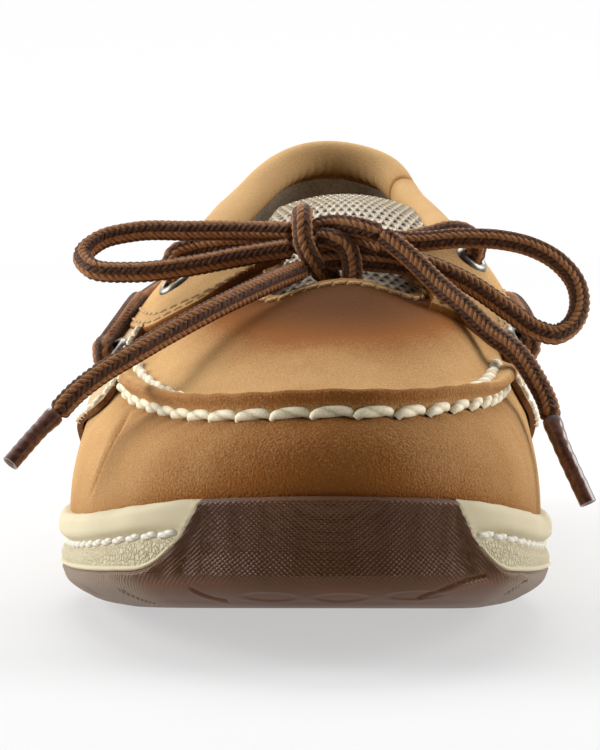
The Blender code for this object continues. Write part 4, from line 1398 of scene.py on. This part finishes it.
    def add_sidewall(self, u: np.ndarray) -> None:
        """Add the cream wall from the parting line to the ledge under the upper.

        Args:
            u: parameters of its columns.
        """
        at = LAST.plan(u, 0.0)[2]
        free = LAST.parting(at) < LAST.rim(at) + 0.35
        u = np.roll(u, -int(np.flatnonzero(~free)[-1]) - 1)[: int(free.sum())]
        x, y, at = LAST.plan(u, 0.0)
        run = arc_lengths(np.column_stack([x, y]))
        rim = LAST.rim(at)
        low = LAST.parting(at) + LAST.gap * 0.4
        upper = rim + np.array(self.wall_rows)[:, None]
        share = np.linspace(0, 1, 22)[1:, None]
        lower = upper[-1] + share * (np.minimum(low, upper[-1] - 0.5) - upper[-1])
        height = np.concatenate([upper, lower])
        height = np.maximum(height, low - 0.003 * np.arange(len(height))[:, None])
        grid_u, grid_run = np.broadcast_to(u, height.shape), np.broadcast_to(run, height.shape)
        above, near = height - rim, height - low
        extra = uneven(grid_run, height, 5.0) * 0.07 * (above < -7.0)
        extra += 0.10 * uneven(grid_run, height * 2, 9.0) * ease(1 + above / 4.0)
        extra -= 0.3 * ease((0.9 - near) / 0.4) - 0.4 * ease((0.35 - near) / 0.35)
        pebbled = ease((-6.3 - above) / 0.4) * ease((near - 0.8) / 0.4)
        points = self.side(grid_u, height, extra)
        wavy = uneven(run, run * 0.3, 6.0) * 0.16
        points[0, :, 2] += wavy
        inner, ledge, closing = (self.side(u[None], level, inset) for level, inset in (
            ((rim + 0.1)[None], 3.4), ((rim + wavy + 0.12)[None], 0.7), (height[-1:] - 0.02, 2.5)))
        grid = np.concatenate([inner, ledge, points, closing])
        pebbled = np.pad(pebbled, ((2, 1), (0, 0)))
        Piece("midsole_wall", CREAM_RUBBER).add_grid(grid, flip=True, pebbled=pebbled).build(
            "midsole", edge_angle=55.0)

    def add_foxing_stitches(self) -> None:
        """Sew the thick two-ply thread into the groove, from bumper to bumper round the heel."""
        u = np.linspace(0, 1, 4001)
        at = LAST.plan(u, 0.0)[2]
        free = np.flatnonzero(LAST.parting(at) > LAST.rim(at) - self.foot_reach)
        u = np.linspace(u[free[-1]], u[free[0]] + 1, 2400)
        height = LAST.rim(LAST.plan(u, 0.0)[2]) - self.stitch_drop
        track = self.side(u, height)
        outward = unit(track - self.side(u, height, 2.0))
        piece = Piece("foxing_stitches", FOXING_THREAD)
        thread = Thread(1.25, lay=4.4, sides=9, rings=13)
        thread.sew(piece, track, outward, self.stitch_pitch, fill=0.98, lift=0.35, slant=0.6, depth=0.8)
        piece.build()

    def build(self) -> None:
        """Build rubber, tread, sidewall and stitches."""
        coarse, bumper = self.columns()
        self.add_rubber("outsole_bumper", bumper, 126, 1.0)
        self.add_rubber("outsole_side", coarse, 30, 0.0)
        around = np.concatenate([coarse, bumper[1:-1:3]])
        self.add_tread(around)
        self.add_sidewall(around)
        self.add_foxing_stitches()


@dataclass
class Upper:
    """Hollow moccasin upper: mudguard, raised handsewn ridge, apron and quarters, with its lining."""

    columns: int = 630
    wall_rows: int = 34
    apron_rows: int = 30
    lining_columns: int = 300
    ridge_height: float = 4.2
    ridge: tuple = (
        (0.0, 0.0), (0.35, 0.5), (0.8, 0.86), (1.6, 1.0), (2.6, 0.97), (3.3, 0.8), (3.9, 0.45),
        (4.6, 0.22), (6.0, 0.08), (8.0, 0.0))
    wall_height: float = 22.0
    toe_section: float = 14.0
    widest_share: float = 0.25 / 5.5 * 0.8
    binding: tuple = (8.85, 10.0, 12.0, 14.0, 16.0, 18.0, 19.15)
    binding_radius: float = 1.15
    thickness: float = 1.7
    pitch: float = 7.4
    pucker: float = 0.28
    seam_ends: tuple[float, float] = (9.0, 18.35)
    creases: tuple = (
        (0.85, ((10.5, 0.9), (10.8, 0.775), (11.05, 0.65), (11.2, 0.525), (11.25, 0.45), (11.3, 0.325),
                (11.25, 0.225), (11.1, 0.125))),
        (0.5, ((17.9, 0.86), (17.75, 0.7), (17.65, 0.5), (17.6, 0.3), (17.7, 0.12))))

    def __post_init__(self) -> None:
        """Measure the seam line."""
        self.fine = np.linspace(0, 1, 2001)
        self.seam_run = arc_lengths(LAST.base(self.fine, np.ones(2001)))

    def room(self, u: np.ndarray) -> np.ndarray:
        """Share of the way to the top edge that one millimetre of the ridge takes."""
        return np.minimum(1 / LAST.reach(u), self.widest_share)

    def relief(self, u: np.ndarray, v: np.ndarray) -> np.ndarray:
        """Height of ridge, puckers and creases over the plain form.

        Args:
            u: curve parameters.
            v: heights, of the same shape.

        Returns:
            The height.
        """
        strength = LAST.ridge_strength(u)
        beyond = np.maximum(v - 1, 0) / self.room(u)
        height = self.ridge_height * strength * smooth_row(self.ridge, beyond)
        wave = np.cos(np.interp(np.mod(u, 1), self.fine, self.seam_run) / self.pitch * TURN)
        below = np.maximum(1 - v, 0) * self.wall_height
        height += self.pucker * strength * wave * np.exp(-below / 2.6) * (v <= 1)
        height += 0.10 * strength * wave * ease(beyond / 1.0) * ease((4.5 - beyond) / 1.0)
        section = np.interp(np.mod(u, 1), np.append(LAST.knots, 1.0), np.arange(COUNT + 1))
        off = np.abs(section - self.toe_section)
        height += ease((v - 1.5) / 0.5) * (1.2 - 3.0 * ease(off / 3.2) + 1.8 * ease((off - 3.9) / 1.6))
        return height - self.crease_depth(u, v)

    def crease_depth(self, u: np.ndarray, v: np.ndarray) -> np.ndarray:
        """Depth of the soft flexing creases, with the swelling beside each.

        Args:
            u: curve parameters.
            v: heights, of the same shape.

        Returns:
            The depth.
        """
        here = LAST.base(u, v)
        fade = ease(from_ends(50) / 10 + 0.1)
        total = np.zeros(np.shape(u))
        for deep, route in self.creases:
            where = drawn(np.array(route), 50)
            line = LAST.base(LAST.u_of(where[:, 0]), where[:, 1])
            gaps = np.linalg.norm(here[..., None, :] - line, axis=-1)
            off = gaps.min(-1)
            total += deep * fade[gaps.argmin(-1)] * (bell(off, 0.75) - 0.3 * bell(off - 2.3, 1.3))
        return total

    def surface(self, u: np.ndarray, v: np.ndarray, lift=0.0) -> np.ndarray:
        """Point over the outer surface of the upper."""
        plain = LAST.base(u, v)
        return plain + LAST.normal(u, v) * (self.relief(u, v) + lift)[..., None]

    def tone(self, u: np.ndarray, v: np.ndarray, points: np.ndarray) -> np.ndarray:
        """How dark the leather is, as painted shade: ridge face, toe front, foot, creases, and a painted
        shadow under the bow.

        Args:
            u: curve parameters.
            v: heights on the upper.
            points: the surface's points there.

        Returns:
            The tone, above 0.9 only in the throat, where the painted shadow lies.
        """
        strength = LAST.ridge_strength(u)
        beyond = np.maximum(v - 1, 0) / self.room(u)
        x, y = points[..., 0], points[..., 1]
        toe = bell(x - 4, 37) * ease((-20 - y) / 60)
        # painted shade on the ridge's front face, deepest across the toe's front
        dark = strength * (0.25 + 0.6 * toe) * ease(beyond / 0.5) * ease((3.2 - beyond) / 1.6)
        # painted shade on the mudguard just under the ridge
        dark += 0.25 * strength * np.exp(-(np.maximum(1 - v, 0) * self.wall_height) / 1.6) * (v <= 1)
        # painted shade where the upper meets the sole
        dark += 0.22 * np.exp(-v * self.wall_height / 3.0)
        # painted shade on the toe's front, darker towards the bottom
        dark += (0.70 + 0.22 * np.clip(1 - v, 0, 1)) * toe * (v <= 1)
        # painted shade in the creases
        dark += 0.7 * np.clip(self.crease_depth(u, v), 0, 0.6)
        # painted shadow of the bow on the apron towards the throat, and a slight darkening over the apron's
        # middle
        middle = bell(x - 9, 40) * ease((-10 - y) / 20)
        throat = 1.3 * middle * ease((v - 1.2) / 0.6) + 0.22 * middle * ease((v - 1.12) / 0.05)
        return np.clip(dark, 0, 0.95) + throat

    def add_outer(self) -> None:
        """Add the outer leather with its folded top edge."""
        u = np.arange(self.columns) / self.columns
        wall = np.linspace(0, 1, self.wall_rows)[:, None] * np.ones(len(u))
        beyond = np.concatenate([np.arange(0.15, 4.9, 0.21), np.arange(5.2, 8.2, 0.45)])
        ridge = 1 + beyond[:, None] * self.room(u)[None]
        share = np.linspace(0, 1, self.apron_rows)[1:, None]
        v = np.concatenate([wall, ridge, ridge[-1] + share * (2 - ridge[-1])])
        grid_u = np.broadcast_to(u, v.shape)
        points = self.surface(grid_u, v)
        tone = self.tone(grid_u, v, points)
        normal = LAST.normal(u, np.full(len(u), 1.98))
        across = unit(points[-1] - points[-2])
        half = self.thickness / 2
        turn = np.linspace(0, math.pi, 7)[1:, None, None]
        fold = points[-1] + across * half * np.sin(turn) * 0.7 - normal * half * (1 - np.cos(turn))
        inside = fold[-1:] - across * 3.0
        foot = points[:1] - np.array([0.0, 0.0, 0.35])
        grid = np.concatenate([foot, points, fold, inside])
        tone = np.concatenate([tone[:1], tone, np.full((7, len(u)), 0.6)])
        Piece("upper_leather", MUDGUARD).add_grid(grid, wrap=True, fold=tone).build("upper", edge_angle=70.0)

    def add_lining(self) -> None:
        """Add the suede lining inside the upper."""
        u = np.arange(self.lining_columns) / self.lining_columns
        grid_u, v = np.meshgrid(u, np.linspace(0.02, 1.985, 44))
        run = np.interp(grid_u, self.fine, self.seam_run)
        inset = self.thickness + 0.15 + 0.25 * uneven(run, v * 30, 14.0)
        points = LAST.base(grid_u, v) - LAST.normal(grid_u, v) * inset[..., None]
        Piece("lining", LINING).add_grid(points, wrap=True, flip=True).build("upper", edge_angle=70.0)

    def add_moc_stitches(self) -> None:
        """Sew the thick twisted thread along the ridge, outside and inside."""
        thread = Thread(2.05, plies=2, lay=8.5, sides=14, rings=17)
        first, last = self.seam_ends
        section = np.linspace(first, last, 700)
        u = LAST.u_of(section)
        outer_v = 1 - 0.028 * (1 - ease((section - first) / 1.2) * ease((last - section) / 1.2))
        inner_v = 1 + 4.5 * self.room(u)
        toe = LAST.ridge_strength(u) > 0.3
        piece = Piece("moc_stitches", MOC_THREAD)
        for v, keep, fill, slant, depth in ((outer_v, np.full(700, True), 0.95, 1.2, 0.5),
                                            (inner_v, toe, 1.0, -0.6, 0.35)):
            track, outward = LAST.base(u, v)[keep], LAST.normal(u, v)[keep]
            thread.sew(piece, track, outward, self.pitch, fill=fill, lift=0.9, slant=slant, depth=depth)
        piece.build()

    def add_throat_edge(self) -> None:
        """Add the folded binding round the front of the throat and its scalloped stitches."""
        u = LAST.u_of(drawn(np.array(self.binding)[:, None], 320)[:, 0])
        top = np.full(320, 2.0)
        edge, outward = self.surface(u, top), LAST.normal(u, top)
        across = unit(edge - self.surface(u, top - 0.1))
        turn = np.linspace(-0.15 * math.pi, 1.15 * math.pi, 15)[None, :, None]
        radius = self.binding_radius
        rolled = across[:, None] * (np.sin(turn) * radius - 0.1)
        band = edge[:, None] - outward[:, None] * 0.55 + rolled + outward[:, None] * (np.cos(turn) * radius)
        back = edge - across * 2.3 + outward * 0.5
        low = edge - across * 2.5 - outward * 0.2
        grid = np.concatenate([low[:, None], back[:, None], band], axis=1)
        tone = np.broadcast_to(np.concatenate([[0.6, 0.4], np.linspace(0.5, 1.0, 15)]), grid.shape[:2])
        Piece("throat_binding", MUDGUARD).add_grid(grid, flip=True, fold=tone).build()
        stitches = Piece("throat_stitches", TAN_THREAD)
        thread = Thread(0.8, lay=2.0, sides=8, rings=11)
        thread.sew(stitches, edge - across * 2.5, outward, 2.7, fill=0.95, lift=0.7, slant=0.9, depth=0.8)
        stitches.build()

    def build(self) -> None:
        """Build leather, lining, stitches and throat edge."""
        self.add_outer()
        self.add_lining()
        self.add_moc_stitches()
        self.add_throat_edge()


@dataclass(frozen=True)
class Panel:
    """A leather panel on the upper, between two edge lines given as sections and heights."""

    name: str
    finish: Finish
    first: tuple
    second: tuple
    thickness: float = 1.15
    lift: float = 0.0
    lift_reach: float = 12.0
    along: int = 220
    across: int = 44

    def places(self, t: np.ndarray, w: np.ndarray) -> tuple[np.ndarray, np.ndarray]:
        """Curve parameters and heights at shares along and across the panel.

        Args:
            t: shares along.
            w: shares across, 0 at the first edge.

        Returns:
            Curve parameters and heights.
        """
        lines = []
        for row in (self.first, self.second):
            row = np.array(row, float)
            knots = np.arange(len(row))
            fine = np.linspace(0, len(row) - 1, 400)
            where = open_curve(row, knots, fine)
            run = arc_lengths(LAST.base(LAST.u_of(where[:, 0]), where[:, 1]))
            lines.append(open_curve(row, knots, np.interp(np.ravel(t) * run[-1], run, fine)))
        share = np.ravel(w)[:, None]
        mixed = lines[0] * (1 - share) + lines[1] * share
        return LAST.u_of(mixed[:, 0]).reshape(t.shape), mixed[:, 1].reshape(t.shape)

    def stand(self, upper: Upper, u: np.ndarray, v: np.ndarray, far: np.ndarray) -> np.ndarray:
        """Height of the panel's underside over the plain form, far from its first edge."""
        return upper.relief(u, v) * (self.lift == 0) + self.lift * (1 - ease(far / self.lift_reach))

    def build(self, upper: Upper) -> bpy.types.Object:
        """Build the panel with rounded, darker cut edges.

        Args:
            upper: upper that carries the panel.

        Returns:
            The finished panel.
        """
        w, dense = ((1 - np.cos(np.linspace(0, math.pi, count))) / 2 for count in (self.across, self.along))
        t = dense * 0.5 + np.linspace(0, 1, self.along) * 0.5
        grid_w, grid_t = np.meshgrid(w, t, indexing="ij")
        u, v = self.places(grid_t, grid_w)
        ground, normal = LAST.base(u, v), LAST.normal(u, v)
        widths = np.array([arc_lengths(ground[:, k])[-1] for k in range(self.along)])[None]
        length = arc_lengths(ground[self.across // 2])[-1]
        edge = np.minimum(np.minimum(grid_w, 1 - grid_w) * widths, np.minimum(grid_t, 1 - grid_t) * length)
        rounded = np.sqrt(1 - (1 - np.clip(edge / 0.7, 0, 1)) ** 2)
        height = self.stand(upper, u, v, grid_w * widths) + self.thickness * (0.25 + 0.75 * rounded)
        sunk = np.full(grid_w.shape, self.thickness * 0.25 + 0.3)
        sunk[1:-1, 1:-1] = 0.0
        grid = ground + normal * height[..., None] - normal * sunk[..., None]
        piece = Piece(self.name, self.finish).add_grid(grid, fold=0.95 * ease((0.62 - edge) / 0.3))
        return piece.build("upper", edge_angle=60.0)

    def seam(self, upper: Upper, edge: str, inset: float, span=(0.0, 1.0)) -> tuple[np.ndarray, np.ndarray]:
        """Line on the panel at a distance from one of its long edges.

        Args:
            upper: upper that carries the panel.
            edge: first or second.
            inset: distance from that edge.
            span: stretch of the edge, in shares.

        Returns:
            The line's points on the panel and the outward directions.
        """
        t = np.linspace(span[0], span[1], 260)
        start, end = (LAST.base(*self.places(t, np.full(260, share))) for share in (0.0, 1.0))
        w = inset / np.maximum(np.linalg.norm(start - end, axis=-1), 1)
        u, v = self.places(t, w if edge == "first" else 1 - w)
        ground, normal = LAST.base(u, v), LAST.normal(u, v)
        height = self.stand(upper, u, v, np.linalg.norm(start - ground, axis=-1)) + self.thickness
        return ground + normal * height[..., None], normal


def level(height: float, *sections: float) -> tuple:
    """Places of a line that keeps its height."""
    return tuple((section, height) for section in sections)


def upright(section: float, *heights: float) -> tuple:
    """Places of a line that keeps its section."""
    return tuple((section, height) for height in heights)


@dataclass
class Panels:
    """Eyestays, wings and heel counter, with their seams."""

    upper: Upper
    dash: float = 2.6
    eyestay_lateral: Panel = Panel(
        "eyestay_lateral", MUDGUARD,
        level(1.985, 8.62, 8.2, 7.4, 6.4, 5.0, 3.4, 1.25),
        ((8.75, 1.84), (9.15, 1.6), (8.85, 1.38), (8.3, 1.2), (7.0, 1.18), (4.6, 1.28), (1.25, 1.38)),
        thickness=1.4)
    eyestay_medial: Panel = Panel(
        "eyestay_medial", MUDGUARD,
        level(1.985, 19.2, 19.7, 20.4, 21.4, 22.6, 24.4, 26.75),
        ((17.1, 1.78), (17.8, 1.52), (18.4, 1.33), (19.2, 1.14), (20.6, 1.18), (23.2, 1.28), (26.75, 1.38)),
        thickness=1.4)
    wing_lateral: Panel = Panel(
        "wing_lateral", WING_NUBUCK,
        ((8.35, 1.24), (8.7, 1.11), (9.15, 1.0), (9.5, 0.87), (9.62, 0.77), (9.45, 0.64), (8.9, 0.5),
         (8.2, 0.34), (7.6, 0.17), (7.2, 0.03)),
        upright(1.85, 1.42, 1.28, 1.14, 1.0, 0.85, 0.7, 0.54, 0.37, 0.2, 0.03),
        thickness=0.95, lift=0.75, lift_reach=9.0)
    wing_medial: Panel = Panel(
        "wing_medial", WING_NUBUCK,
        ((19.5, 1.22), (18.85, 1.03), (18.6, 0.88), (18.55, 0.72), (18.85, 0.56), (19.5, 0.38), (20.1, 0.2),
         (20.5, 0.03)),
        upright(26.15, 1.42, 1.22, 1.02, 0.82, 0.62, 0.42, 0.22, 0.03),
        thickness=0.95, lift=0.75, lift_reach=9.0)
    counter: Panel = Panel(
        "heel_counter", MUDGUARD,
        ((1.9, 0.03), (1.8, 0.5), (1.5, 1.0), (1.2, 1.5), (1.05, 1.97)),
        ((-1.9, 0.03), (-1.8, 0.5), (-1.5, 1.0), (-1.2, 1.5), (-1.05, 1.97)), thickness=1.5)

    def add_seams(self) -> None:
        """Sew the panels' edges."""
        tan = Piece("panel_seams", TAN_THREAD)
        white = Piece("wing_seams", WHITE_THREAD)
        fine = Thread(0.62, lay=1.6, sides=6, rings=8)
        heavy = Thread(1.0, lay=2.4, sides=9, rings=11)
        dashed = partial(fine.sew, pitch=self.dash, fill=0.72, lift=0.3, depth=0.8)
        for stay in (self.eyestay_lateral, self.eyestay_medial):
            for edge, inset in (("second", 1.7), ("second", 4.0), ("first", 2.0)):
                dashed(tan, *stay.seam(self.upper, edge, inset))
        for wing in (self.wing_lateral, self.wing_medial):
            heavy.sew(white, *wing.seam(self.upper, "first", 1.6, (0.02, 0.62)), 3.2, fill=0.9, lift=0.5,
                      slant=0.4, depth=0.8)
            dashed(white, *wing.seam(self.upper, "second", 1.8))
        for edge, inset in (("first", 1.7), ("first", 4.0), ("second", 1.7), ("second", 4.0)):
            dashed(tan, *self.counter.seam(self.upper, edge, inset))
        tan.build()
        white.build()

    def build(self) -> None:
        """Build the panels and their seams."""
        for panel in (self.wing_lateral, self.wing_medial, self.eyestay_lateral, self.eyestay_medial,
                      self.counter):
            panel.build(self.upper)
        self.add_seams()


@dataclass
class Footbed:
    """Suede-covered footbed with a slightly raised rim."""

    height: float = 3.0
    inset: float = 4.6

    def build(self) -> None:
        """Build the footbed as rings from its edge to its middle line."""
        share = np.concatenate([np.linspace(0, 0.97, 26), [0.985, 1.0, 1.0]])
        flat = inward_rings(np.arange(300) / 300, self.inset, 28.0, 2.5, share)[0]
        x, y = flat[..., 0], flat[..., 1]
        rise = LAST.rim(0.5 - y / LAST.length) + self.height
        rise = rise - np.concatenate([np.zeros(27), [0.5, 2.0]])[:, None]
        rise = rise + 0.12 * uneven(x, y, 11.0) - 0.5 * (1 - share[:, None] ** 2)
        Piece("footbed", FOOTBED).add_grid(np.dstack([flat, rise]), wrap=True, flip=True).build("insole")


@dataclass
class Collar:
    """Padded nubuck roll on the top edge, from one eyestay round the heel to the other."""

    width: float = 6.6
    height: float = 8.0
    end: float = 6.8
    sides: int = 32
    stations: int = 420
    squareness: float = 0.85
    quilt_pitch: float = 3.1
    stitch_pitch: float = 3.1
    pinches: tuple = (26.4,)

    def pinched(self, u: np.ndarray, length: np.ndarray) -> np.ndarray:
        """How strongly a join seam pinches the roll at each station.

        Args:
            u: curve parameters of the stations.
            length: running length there.

        Returns:
            The strength, 0 away from every join.
        """
        pinch = np.zeros(len(u))
        for section in self.pinches:
            place = float(LAST.u_of(section))
            off = np.interp(place - 1 if place > 0.5 else place, u, length) - length
            pinch += bell(off, 0.7) + 0.35 * bell(off, 4.0)
        return pinch

    def build(self) -> None:
        """Build the roll with its join seams, and the stitches at its foot."""
        start, stop = float(LAST.u_of(-self.end)), float(LAST.u_of(self.end))
        u = np.linspace(start, stop, self.stations)
        top = np.full(len(u), 2.0)
        edge = LAST.base(u, top)
        run = LAST.base(u + 0.003, top) - LAST.base(u - 0.003, top)
        inward = unit(np.column_stack([-run[:, 1], run[:, 0], np.zeros(len(u))]))
        upward = unit(np.cross(inward, run))
        upward = upward * np.sign(upward[:, 2:])
        self.add_roll(u, edge, inward, upward)
        seam = Piece("collar_stitches", TAN_THREAD)
        track = edge - inward * 0.35 - upward * 1.3
        thread = Thread(0.62, lay=1.6, sides=7, rings=9)
        thread.sew(seam, track[12:-12], -inward[12:-12], self.stitch_pitch, fill=0.75, lift=0.5, depth=0.8)
        seam.build()

    def add_roll(self, u: np.ndarray, edge: np.ndarray, inward: np.ndarray, upward: np.ndarray) -> None:
        """Add the padded roll along the top edge.

        Args:
            u: curve parameters of its stations.
            edge: points of the top edge.
            inward: directions over the foot's opening.
            upward: directions up from the edge.
        """
        taper = ease(np.minimum(u - u[0], u[-1] - u) / 0.08) * 0.68 + 0.32
        half_width = self.width / 2 * (0.6 + 0.4 * taper)
        half_height = self.height / 2 * taper
        centre = edge + inward * half_width[:, None] + upward * (half_height * 0.9 + LAST.gap)[:, None]
        length = arc_lengths(edge)
        grid_length, turn = np.meshgrid(length, turns(self.sides), indexing="ij")
        side, rise = (np.sign(way(turn)) * np.abs(way(turn)) ** self.squareness for way in (np.cos, np.sin))
        pinch = self.pinched(u, length)[:, None]
        quilt = 0.05 * np.cos(grid_length / self.quilt_pitch * TURN) * np.clip(-np.sin(turn), 0, 1)
        swell = 1 - 0.12 * pinch + quilt
        swell = swell + 0.02 * uneven(grid_length, turn * 3, 12.0)
        points = centre[:, None] + inward[:, None] * (side * half_width[:, None] * swell)[..., None]
        points = points + upward[:, None] * (rise * half_height[:, None] * swell)[..., None]
        shrink = (0.25 + 0.75 * np.sqrt(ease(from_ends(len(u)) / 7)))[:, None, None]
        points = centre[:, None] + (points - centre[:, None]) * shrink
        piece = Piece("collar_roll", COLLAR_NUBUCK)
        # fold: darker at the join seam's pinch, and painted shade on the roll's underside
        piece.add_grid(points, wrap=True,
                       fold=np.clip(0.7 * pinch + 0.5 * np.clip(-np.sin(turn) - 0.35, 0, 1), 0, 0.9))
        piece.cap(points[0], flip=True)
        piece.cap(points[-1])
        piece.build("collar", edge_angle=70.0)


@dataclass
class Tongue:
    """Knitted mesh tongue with arrow-shaped holes over a near-black backing that is painted shade seen
    through them.
    """

    folds: tuple = (
        (0.765, 0.58, 0.22), (0.715, 0.67, 0.245), (0.668, 0.755, 0.255), (0.620, 0.82, 0.255),
        (0.580, 0.895, 0.245), (0.545, 0.985, 0.22), (0.515, 1.075, 0.2), (0.500, 1.115, 0.17))
    room: float = 80.8
    middle: float = 7.99
    half_share: float = 0.245
    arch: float = 33.84
    tile: float = 1.9
    thickness: float = 2.8
    hole: tuple = (
        (0.24, 0.16), (0.5, 0.36), (0.76, 0.16), (0.74, 0.48), (0.63, 0.68), (0.5, 0.84), (0.37, 0.68),
        (0.26, 0.48))
    frame: tuple = (
        (0.0, 0.0), (0.5, 0.0), (1.0, 0.0), (1.0, 0.5), (1.0, 1.0), (0.5, 1.0), (0.0, 1.0), (0.0, 0.5))

    def point(self, along: np.ndarray, across: np.ndarray, lift=0.0) -> np.ndarray:
        """Point of the tongue.

        Args:
            along: shares from front to back.
            across: from -1 on the lateral side to 1 on the medial side.
            lift: distance over its top face.

        Returns:
            The points.
        """
        shape = np.shape(along)
        rows = np.array(self.folds)
        fold = open_curve(rows, np.linspace(0, 1, len(rows)), np.clip(np.ravel(along), 0, 1))
        x = np.ravel(across) * fold[:, 2] * self.room
        height = LAST.rim(fold[:, 0]) + fold[:, 1] * LAST.upper_rise
        drop = self.arch - np.sqrt(self.arch**2 - x**2)
        lean = x / self.arch
        lift = np.ravel(lift + 0 * np.asarray(along))
        points = np.column_stack([self.middle + x + lean * lift, LAST.length * (0.5 - fold[:, 0]),
                                  height - drop + np.sqrt(1 - lean**2) * lift])
        return points.reshape(*shape, 3)

    def build(self) -> None:
        """Build the knit, its backing, the bound edge and the lining."""
        self.add_knit()
        along, across = np.meshgrid(np.linspace(0, 1, 60), np.linspace(-1, 1, 40), indexing="ij")
        # near-black backing: painted shade seen through the knit's holes
        Piece("tongue_backing", HOLE_SHADE_BACKING).add_grid(self.point(along, across, -0.75)).build("tongue")
        self.add_binding()
        low = self.point(along, across, -self.thickness)
        Piece("tongue_lining", LINING).add_grid(low, flip=True).build("tongue")

    def add_knit(self) -> None:
        """Knit the top face tile by tile, each with its arrow-shaped hole."""
        length = arc_lengths(self.point(np.linspace(0, 1, 200), np.zeros(200)))[-1]
        rows, columns = int(length / self.tile), int(2 * self.half_share * self.room / self.tile)
        outer = np.array(self.frame)
        hole = 0.5 + (np.array(self.hole) - 0.5) * 1.18
        sink = 0.5 + (hole - 0.5) * 0.85
        # the third value of each ring is its share of painted shade in the hole
        rings = ((outer, -0.10, 0.12), (outer * 0.45 + hole * 0.55, 0.18, 0.0), (hole, -0.05, 0.55),
                 (sink, -0.25, 1.0), (sink * 0.3 + 0.35, -0.45, 1.0))
        deep = np.repeat([row[2] for row in rings], len(hole))
        knit = Piece("tongue_knit", MESH_YARN)
        for i in range(rows):
            shift = 0.5 * (i % 2)
            for j in range(columns + 1):
                grid = []
                for ring, height, _ in rings:
                    across = np.clip(2 * (j + ring[:, 0] - shift) / columns - 1, -1, 1)
                    grid.append(self.point((i + ring[:, 1]) / rows, across, height))
                if np.ptp(grid[0][:, 0]) > 0.6 * self.tile:
                    knit.add_grid(np.array(grid), wrap=True, fold=deep)
        knit.build("tongue", edge_angle=80.0)

    def add_binding(self) -> None:
        """Bind the sides and the back edge with a rolled strip."""
        there, over = np.linspace(0, 1, 60), np.linspace(-1, 1, 40)
        stretches = ((there, -np.ones(60)), (np.ones(40), over), (there[::-1], np.ones(60)))
        rim = [self.point(along, across * 0.985, -self.thickness / 2 - 0.15) for along, across in stretches]
        rim = even_points(np.concatenate([rim[0], rim[1][1:], rim[2][1:]]), 1.2)
        grid = swept(rim, np.full((len(rim), 12), self.thickness / 2 - 0.1))
        Piece("tongue_binding", MESH_YARN).add_grid(grid, wrap=True).build("tongue", edge_angle=80.0)


@dataclass
class Hardware:
    """Rolled eyelets and the lace that runs round the heel between the side ones.

    A ring's rows are (radius, height, tone), from its back over the rolled crown to its foot.
    """

    lace: Bow
    wire: float = 0.9
    ring_sides: int = 56
    seats: tuple = (("eyelet_front_lateral", 7.5, 0.5), ("eyelet_front_medial", 20.80, 0.64),
                    ("eyelet_side_lateral", 8.20, 0.04), ("eyelet_side_medial", 19.95, 0.05))
    ring: tuple = (
        (1.75, -2.2, 0.95), (1.95, -0.6, 0.9), (2.02, 0.15, 0.5), (2.2, 0.62, 0.15), (2.55, 0.86, 0.0),
        (2.95, 0.84, 0.0), (3.3, 0.62, 0.1), (3.55, 0.3, 0.35), (3.68, -0.1, 0.6), (3.8, -0.45, 0.8),
        (3.75, -0.9, 0.9))
    route: tuple = (
        (7.82, 0.05), (7.0, 0.24), (6.0, 0.46), (5.0, 0.60), (4.0, 0.66), (3.0, 0.68), (2.0, 0.70),
        (1.0, 0.72), (0.0, 0.72), (-1.0, 0.72), (-2.0, 0.70), (-3.0, 0.68), (-4.0, 0.66), (-5.0, 0.5),
        (-6.0, 0.28), (-7.0, 0.08), (-7.75, 0.02))
    turn_in: tuple = ((4.3, 2.4), (4.0, 3.6), (2.6, 2.4), (0.9, 0.0))

    def seat(self, section: float, share: float) -> tuple[np.ndarray, np.ndarray]:
        """Point on the plain upper at a seat, and the outward direction there."""
        u, v = LAST.u_of(np.array([section])), np.array([1 + share])
        return LAST.base(u, v)[0], LAST.normal(u, v)[0]

    def add_eyelet(self, name: str, section: float, share: float) -> None:
        """Turn one eyelet's profile round its axis.

        Args:
            name: CAD node of the eyelet.
            section: section that it sits at.
            share: its height over the seam, as a share of the way to the top edge.
        """
        centre, outward = self.seat(section, share)
        centre = centre + outward * (self.wire + LAST.gap * 1.5)
        side = unit(np.cross(outward, UP))
        rise = np.cross(side, outward)
        turn = turns(self.ring_sides)
        rows = []
        for radius, height, _ in self.ring:
            radii = radius + 0.03 * np.cos(5 * turn + radius)
            rows.append(centre + outward * height + side * (np.cos(turn) * radii)[:, None]
                        + rise * (np.sin(turn) * radii)[:, None])
        tone = np.repeat([row[2] for row in self.ring], self.ring_sides)
        piece = Piece(name + "_ring", EYELET_METAL)
        piece.add_grid(np.array(rows), wrap=True, flip=True, fold=tone).build(name)

    def add_side_lace(self) -> None:
        """Braid the lace that lies on the quarters and turns into the side eyelets."""
        rows = np.array(self.route)[::-1]
        place = np.linspace(rows[0, 0], rows[-1, 0], 120)
        v = 1 + open_curve(rows[:, 1:], rows[:, 0], place)[:, 0]
        u = LAST.u_of(place)
        points = LAST.base(u, v) + LAST.normal(u, v) * (self.lace.diameter / 2 + 0.55)
        down = unit(np.array([0.0, -0.35, -1.0]))
        ends = []
        for _, section, share in self.seats[2:]:
            seat, outward = self.seat(section, share)
            ends.append(np.array([seat + outward * out + down * low for out, low in self.turn_in]))
        route = np.concatenate([ends[1][::-1], points, ends[0]])
        self.lace.braided("side_lace_braid", route, 0.45)[0].build("side_lace")

    def build(self) -> None:
        """Build the eyelets and the side lace."""
        for name, section, share in self.seats:
            self.add_eyelet(name, section, share)
        self.add_side_lace()


def main() -> None:
    """Build the shoe piece by piece."""
    logging.basicConfig(level=logging.INFO, format="%(name)s: %(message)s")
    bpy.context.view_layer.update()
    Studio().build()
    bow = Bow()
    bow.build()
    Sole().build()
    upper = Upper()
    upper.build()
    Panels(upper).build()
    Footbed().build()
    Collar().build()
    Tongue().build()
    Hardware(bow).build()


if __name__ == "__main__":
    main()
